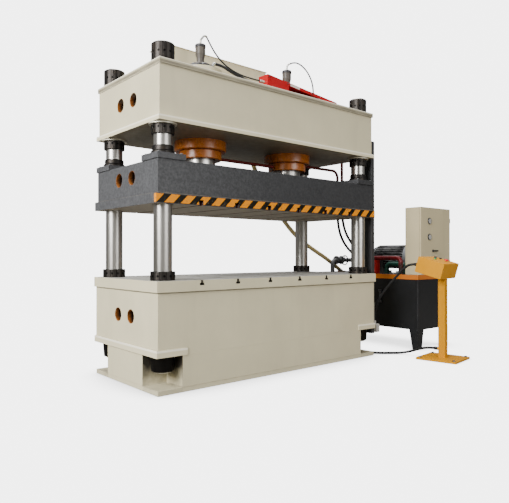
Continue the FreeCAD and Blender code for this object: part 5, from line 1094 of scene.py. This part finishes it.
def make_stage():
    """A plain pale floor, much larger than the view, with soft contact shade under the press."""
    mesh = bpy.data.meshes.new("floor")
    half, z = 40.0, -0.002
    corners = [(-half, -half, z), (half, -half, z), (half, half, z), (-half, half, z)]
    mesh.from_pydata(corners, [], [(0, 1, 2, 3)])
    floor = bpy.data.objects.new("floor", mesh)
    bpy.context.scene.collection.objects.link(floor)
    look = Look("floor")
    shade = look.add("ShaderNodeAmbientOcclusion", {"Distance": 0.35}, samples=8).outputs["AO"]
    strength = look.spread(shade, 0.1, 0.95, 0.35, FLOOR_GLOW)
    glow = look.add("ShaderNodeEmission", {"Strength": strength}).outputs[0]
    dull = look.add("ShaderNodeBsdfDiffuse", {"Color": rgb(0.20, 0.19, 0.17)}).outputs[0]
    seen = look.add("ShaderNodeLightPath").outputs["Is Camera Ray"]
    mixed = look.add("ShaderNodeMixShader", {0: seen, 1: dull, 2: glow}).outputs[0]
    look.tree.links.new(mixed, look.tree.nodes["Material Output"].inputs["Surface"])
    mesh.materials.append(look.material)


def area_light(name, place, target, size, watts):
    """A large soft square light that faces a target."""
    data = bpy.data.lights.new(name, "AREA")
    data.shape = "SQUARE"
    data.size = size
    data.energy = watts
    light = bpy.data.objects.new(name, data)
    light.location = place
    aim = Vector(target) - Vector(place)
    light.rotation_euler = aim.to_track_quat("-Z", "Y").to_euler()
    bpy.context.scene.collection.objects.link(light)


def make_world():
    """A bright white backdrop, and a dimmer studio with darker walls for light and reflections."""
    world = bpy.data.worlds.new("studio")
    world.use_nodes = True
    tree = world.node_tree
    backdrop = tree.nodes["Background"]
    backdrop.inputs["Color"].default_value = rgb(1, 1, 1)
    backdrop.inputs["Strength"].default_value = FLOOR_GLOW
    place = add_node(tree, "ShaderNodeTexCoord").outputs["Generated"]
    height = add_node(tree, "ShaderNodeSeparateXYZ", {0: place}).outputs["Z"]
    inputs = {"Vector": place, "Scale": 0.55, "Phase Offset": 1.1}
    bands = add_node(tree, "ShaderNodeTexWave", inputs, bands_direction="Y").outputs["Fac"]
    inputs = {
        "Value": height, "From Min": -0.25, "From Max": 0.9, "To Min": 0.05, "To Max": 0.95,
    }
    rise = add_node(tree, "ShaderNodeMapRange", inputs).outputs[0]
    inputs = {"Value": bands, "To Min": 0.55, "To Max": 1.25}
    wall = add_node(tree, "ShaderNodeMapRange", inputs).outputs[0]
    strength = add_node(tree, "ShaderNodeMath", {0: rise, 1: wall}, operation="MULTIPLY")
    studio = add_node(tree, "ShaderNodeBackground", {"Strength": strength.outputs[0]})
    seen = add_node(tree, "ShaderNodeLightPath").outputs["Is Camera Ray"]
    inputs = {0: seen, 1: studio.outputs[0], 2: backdrop.outputs[0]}
    mixed = add_node(tree, "ShaderNodeMixShader", inputs).outputs[0]
    tree.links.new(mixed, tree.nodes["World Output"].inputs["Surface"])
    bpy.context.scene.world = world


make_stage()
make_world()
area_light("key", (-9.0, -2.0, 5.0), (0, 0, 1.6), 5.0, 1900)
area_light("fill", (1.5, -11.0, 4.0), (0.5, 0, 1.5), 6.0, 520)
area_light("top", (0.5, 1.0, 9.0), (0.5, 0, 1.0), 6.0, 900)
